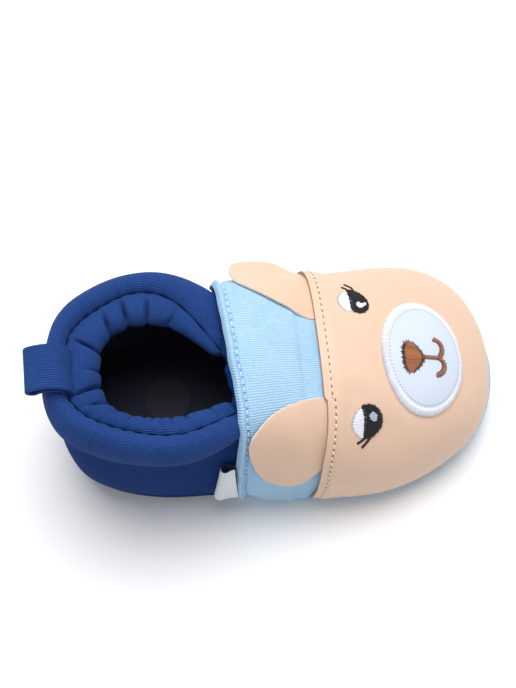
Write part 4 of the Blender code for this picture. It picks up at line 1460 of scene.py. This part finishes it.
gatherRows = (  # creases: mm deep, degrees wide, the row they start at, and how far they lean
    (104.0, 0.8, 1.2, 38, 0.0), (116.0, 0.9, 1.5, 42, 0.5), (125.8, 1.9, 0.9, 35, 0.0),
    (136.6, 2.5, 1.2, 34, 0.6), (147.0, 2.2, 1.2, 36, 2.2), (167.0, 2.4, 1.2, 35, 1.0),
    (181.0, 1.5, 1.0, 43, 0.0), (192.0, 2.6, 1.2, 33, -1.0), (201.5, 1.7, 1.2, 37, 1.5),
    (211.5, 0.6, 1.6, 42, 0.8), (220.5, 1.0, 1.0, 40, 0.5), (227.0, 0.5, 0.9, 44, 0.0),
    (230.8, 1.0, 0.8, 41, 0.3), (235.2, 0.7, 0.8, 42, -0.2), (239.0, 1.0, 0.8, 40, 0.0),
    (244.8, 1.1, 0.9, 39, -0.4), (254.0, 0.6, 1.2, 42, 0.0), (264.0, 0.8, 1.2, 42, 0.0),
)


def collarArc(part, wide, height):  # away from the seam, and up
    angles = np.radians(np.linspace(*part["arc"], collar["seamRow"]))
    away = wide * (part["middle"] + part["radius"] * np.cos(angles))
    up = height * (part["up"] + part["half"] * np.sin(angles))
    return np.stack([np.maximum(away, collar["seamGap"]), up], -1)


def collarSection(rollWide, casingWide, height):  # one closed cross-section: across from the seam, and up
    roll = collarArc(collar["roll"], rollWide, height)
    casing = collarArc(collar["casing"], casingWide, height) * (-1, 1)
    groove = np.array([(0, collar["seamUp"] * height)])
    inside = np.array([(0, 0.30), (0.09, 0.14), (0.13, 0.02)]) * (rollWide, height)
    floor = np.linspace(inside[-1], roll[0], 5)[1:]
    return np.concatenate([roll, groove, casing, inside, floor])


def gatherLift(turn, row):  # lobes of the gathered casing, each lying over the one before it
    creases = [dict(zip(gatherColumns, values)) for values in gatherRows]
    down = ease(row, *collar["creaseRows"])
    fade = (1 - 0.70 * ease(row, *collar["mouthRows"])) * (1 - ease(row, *collar["endRows"]))
    pressed = np.zeros(len(row))
    for crease in creases:
        off = turn - crease["turn"] - crease["slant"] * (2 * down - 1)
        wide = crease["width"] * (0.5 + 0.6 * down)
        depth = crease["depth"] * ease(row, crease["start"], crease["start"] + 8) * fade
        pressed = np.maximum(pressed, depth * np.exp(-abs(off / wide) ** 1.3))
    turns = [crease["turn"] for crease in creases]
    after = min(max(int(np.searchsorted(turns, turn)), 1), len(turns) - 1)
    wide = turns[after] - turns[after - 1]
    share = 2 * (turn - turns[after - 1]) / wide - 1
    size = min(wide / 11, 1.2) * ease(row, *collar["puffRows"]) * fade
    return (collar["puff"] * (1 - share**2) - collar["overlap"] * share) * size - pressed * mm


def collarStations():
    rows = np.array(collarRows)
    turns = np.linspace(rows[0, 0], rows[-1, 0], collar["columns"] + 1)
    spread = alongLine(turns, rows[:, 0], rows[:, 1:])
    spread = smoothed(smoothed(spread, collar["rounding"]), collar["rounding"]) * mm
    return [dict(zip(collarColumns, (turn, *line))) for turn, line in zip(turns, spread)]


def collarRing(at):
    outside, seam, mouth = (np.array((at[part + "X"], at[part + "Y"])) for part in ("out", "seam", "mouth"))
    rollWide, casingWide = np.linalg.norm(outside - seam), np.linalg.norm(mouth - seam)
    section = collarSection(rollWide, casingWide, at["height"])
    step = np.roll(section, -1, axis=0) - np.roll(section, 1, axis=0)
    normal = unit(np.stack([step[:, 1], -step[:, 0]], -1))
    row = np.arange(len(section))
    seamRow = collar["seamRow"]
    rolled = np.where(row < seamRow, np.sin(row / (seamRow - 1) * math.pi), 0)
    bySeam = bump(row, seamRow - 3, 2.2) + bump(row, seamRow + 4, 2.2)
    narrow = min(casingWide / (8 * mm), 1)
    shift = gatherLift(at["turn"], row) * narrow
    turn = math.radians(at["turn"])
    uneven = np.sin(turn * 9 + row / 9) + 0.7 * np.sin(turn * 17 - row / 6.4)
    shift = shift + collar["rollSlack"] * 0.5 * rolled * uneven
    shift = shift + collar["pucker"] * bySeam * math.sin(turn * 68)
    section = section + normal * shift[:, None]
    outward, inward = unit(outside - seam), unit(mouth - seam)
    across = section[:, :1]
    flat = seam + outward * np.maximum(across, 0) + inward * np.maximum(-across, 0)
    return withHeight(flat, at["base"] + section[:, 1])


def makeCollar():
    rings = np.array([collarRing(at) for at in collarStations()])
    piece, u, v = addGrid("collarRoll", collar["columns"], rings.shape[1] - 1, royalJersey, navyLining)
    rings[:, -1] = rings[:, 0]
    length = runLength(rings[:, collar["seamRow"] // 2], 0)
    toEnd = np.minimum(length, length[-1] - length)
    size = np.sqrt(np.clip(1 - (1 - np.clip(toEnd / collar["endCap"], 0, 1)) ** 2, 0, 1))
    middle = rings.mean(1, keepdims=True)
    rings = middle + (rings - middle) * size[:, None, None]
    points = np.moveaxis(rings, 0, 1)
    across = runLength(points, 0)
    shapeGrid(piece, points, length[None], across - across[collar["seamRow"]])
    lining = np.arange(rings.shape[1] - 1) >= collar["liningRow"]  # from the mouth down
    inside = np.repeat(lining, collar["columns"])
    inside[-4 * collar["columns"]:] = False
    piece.data.polygons.foreach_set("material_index", inside.astype(np.int32))
    weld(piece, outwards=True)
    smooth(piece, 75)
    dress(piece, "collar")
    return piece


makeCollar()
print("collar made")


# Pull loop and tag: folded bands
loop = {
    "width": 12.4 * mm,
    "thick": 1.1 * mm,
    "rootGap": 0.4 * mm,
    "foldGap": 1.8 * mm,
    "route": ((-4.4, -1.5), (-3.0, 3.2), (1.2, 3.6), (4.6, 1.4)),  # mm outwards, and over the collar
    "root": (-4.3, -4.5),
    "aside": -1.2 * mm,
    "up": 16 * mm,  # the collar's top, over the upper's rim
}
tag = {
    "turn": -98.0,
    "rise": (0.23, 0.72),
    "turns": 6.5,
    "flare": 0.10,  # longer at its lower edge
    "root": 0.4 * mm,
    "thick": 0.35 * mm,
    "rootGap": 0.9 * mm,
    "foldGap": 2.4 * mm,
}


def foldedBand(middle, band):  # the line of a band folded in two, whose fold is at the last point
    step = unit(np.gradient(middle, axis=0))
    side = np.stack([-step[:, 1], step[:, 0]], -1)
    share = np.linspace(0, 1, len(middle))[:, None]
    half = (band["rootGap"] + (band["foldGap"] - band["rootGap"]) * share**2 + band["thick"]) / 2
    turn = np.radians(np.linspace(80, -80, 9))[:, None]
    fold = middle[-1] + half[-1] * (step[-1] * np.cos(turn) + side[-1] * np.sin(turn))
    return np.concatenate([middle + side * half, fold, (middle - side * half)[::-1]])


def overRim(turn, profile):  # points over the upper's rim, from distances outwards and up
    rim = lastPoint(turn, 1)
    outward = footLine(np.asarray(turn, float))[1]
    return withHeight(rim[:2] + profile[:, :1] * outward, rim[2] + shoe["gap"] + profile[:, 1])


def bezier(points, count):
    share = np.linspace(0, 1, count)[:, None]
    rest = 1 - share
    a, b, c, d = (np.array(p) for p in points)
    return rest**3 * a + 3 * rest**2 * share * b + 3 * rest * share**2 * c + share**3 * d


def makePullLoop():
    route = np.concatenate([np.array([loop["root"]]), bezier(loop["route"], 16)]) * mm + (0, loop["up"])
    line = foldedBand(route, loop)
    piece, u, v = addGrid("pullLoop", len(line) - 1, 16, royalJersey)
    ring = overRim(180, line)
    across = (v[:, 0] - 0.5) * loop["width"]
    points = ring[None] + np.array([0, 1, 0]) * (across + loop["aside"])[:, None, None]
    length = runLength(ring, 0)
    sag = 0.25 * mm * np.sin(length / (5 * mm))[None] * np.cos(across / loop["width"] * math.pi)[:, None]
    points[..., 2] += sag * ease(length, 6 * mm, 10 * mm)
    shapeGrid(piece, points, length[None], across[:, None])
    modify(piece, "SOLIDIFY", thickness=loop["thick"], offset=0)
    weld(piece, outwards=True)
    modify(piece, "BEVEL", width=0.35 * mm, segments=3, limit_method="ANGLE", angle_limit=math.radians(60))
    smooth(piece, 50)
    return dress(piece, "pull_loop")


def makeTag():
    low, high = tag["rise"]
    ends = lastPoint(tag["turn"] - np.array([0, tag["turns"]]), low)
    degree = np.linalg.norm(ends[1] - ends[0]) / tag["turns"]
    back = np.linspace(tag["root"], tag["turns"] * degree, 12)
    lift = shoe["gap"] + tag["thick"] + tag["foldGap"] / 2
    line = foldedBand(np.stack([back, np.full_like(back, lift)], -1), tag)
    # the dark navy is painted shade inside the fold; the white is the ribbon's own colour
    piece, u, v = addGrid("sideTag", len(line) - 1, 14, ribbonInsideShade, whiteRibbon)
    rise = low + (high - low) * v
    turn = tag["turn"] - line[:, 0] / degree * (1 + tag["flare"] * (1 - v))
    points = skin(turn, rise, np.broadcast_to(line[:, 1], rise.shape))
    shapeGrid(piece, points, runLength(points, 1), runLength(points, 0))
    weld(piece)
    modify(piece, "SOLIDIFY", thickness=tag["thick"], offset=0, material_offset=1)
    smooth(piece, 50)
    return dress(piece, "tag")


makePullLoop()
makeTag()
print("loop and tag made")


# Floor, light and camera
stage = {
    "floorSize": 6.0,
    "floorDark": (0.95, 0.955, 0.96),
    "floorLight": (0.97, 0.97, 0.97),
    "skyColour": (0.95, 0.97, 1.0, 1),
    "skyStrength": 0.40,
}
lights = (  # name, place, size, power
    ("keySoft", (0.02, 0.30, 0.90), 0.86, 9.8),
    ("fillSoft", (-0.60, -0.30, 0.70), 0.80, 0.4),
    ("frontSoft", (0.75, 0.15, 0.60), 0.60, 0.8),
)
view = {
    "azimuth": -6,
    "elevation": 70,
    "distance": 0.400,
    "target": (-3.75 * mm, 0, 20 * mm),
    "focalPixels": 1400,
    "targetPixel": (263, 384),
    "imageSize": (516, 688),
}


def makeStage():
    bpy.ops.object.select_all(action="DESELECT")
    bpy.ops.mesh.primitive_plane_add(size=stage["floorSize"])
    floor = bpy.context.object
    floor.name = "paleFloor"
    made, shader = newMaterial("paleFloor", rough=0.55, specular=0.3)
    tone = noise(placeOn(made, "Object"), 6)
    feed(shader["Base Color"], mixColour(tone, stage["floorDark"], stage["floorLight"]))
    floor.data.materials.append(made)
    world = bpy.data.worlds.new("studio")
    bpy.context.scene.world = world
    world.use_nodes = True
    sky = world.node_tree.nodes["Background"]
    feedAll(sky, color=stage["skyColour"], strength=stage["skyStrength"])
    for name, place, size, power in lights:
        lamp = bpy.data.lights.new(name, "AREA")
        lamp.shape, lamp.size, lamp.energy = "DISK", size, power
        holder = bpy.data.objects.new(name, lamp)
        bpy.context.scene.collection.objects.link(holder)
        holder.location = place
        holder.rotation_euler = (-Vector(place)).to_track_quat("-Z", "Y").to_euler()


def makeCamera():
    a, e = math.radians(view["azimuth"]), math.radians(view["elevation"])
    back = Vector((math.sin(a) * math.cos(e), -math.cos(a) * math.cos(e), math.sin(e)))
    lens = bpy.data.cameras.new("photoCamera")
    wide, tall = view["imageSize"]
    lens.lens = lens.sensor_width * view["focalPixels"] / tall
    lens.shift_x = (wide / 2 - view["targetPixel"][0]) / tall
    lens.shift_y = (view["targetPixel"][1] - tall / 2) / tall
    lens.clip_start, lens.clip_end = 0.01, 20
    camera = bpy.data.objects.new("photoCamera", lens)
    bpy.context.scene.collection.objects.link(camera)
    camera.location = Vector(view["target"]) + back * view["distance"]
    camera.rotation_euler = (-back).to_track_quat("-Z", "Y").to_euler()
    bpy.context.scene.camera = camera
    bpy.context.scene.view_settings.view_transform = "Standard"


makeStage()
makeCamera()
print("stage and camera made")
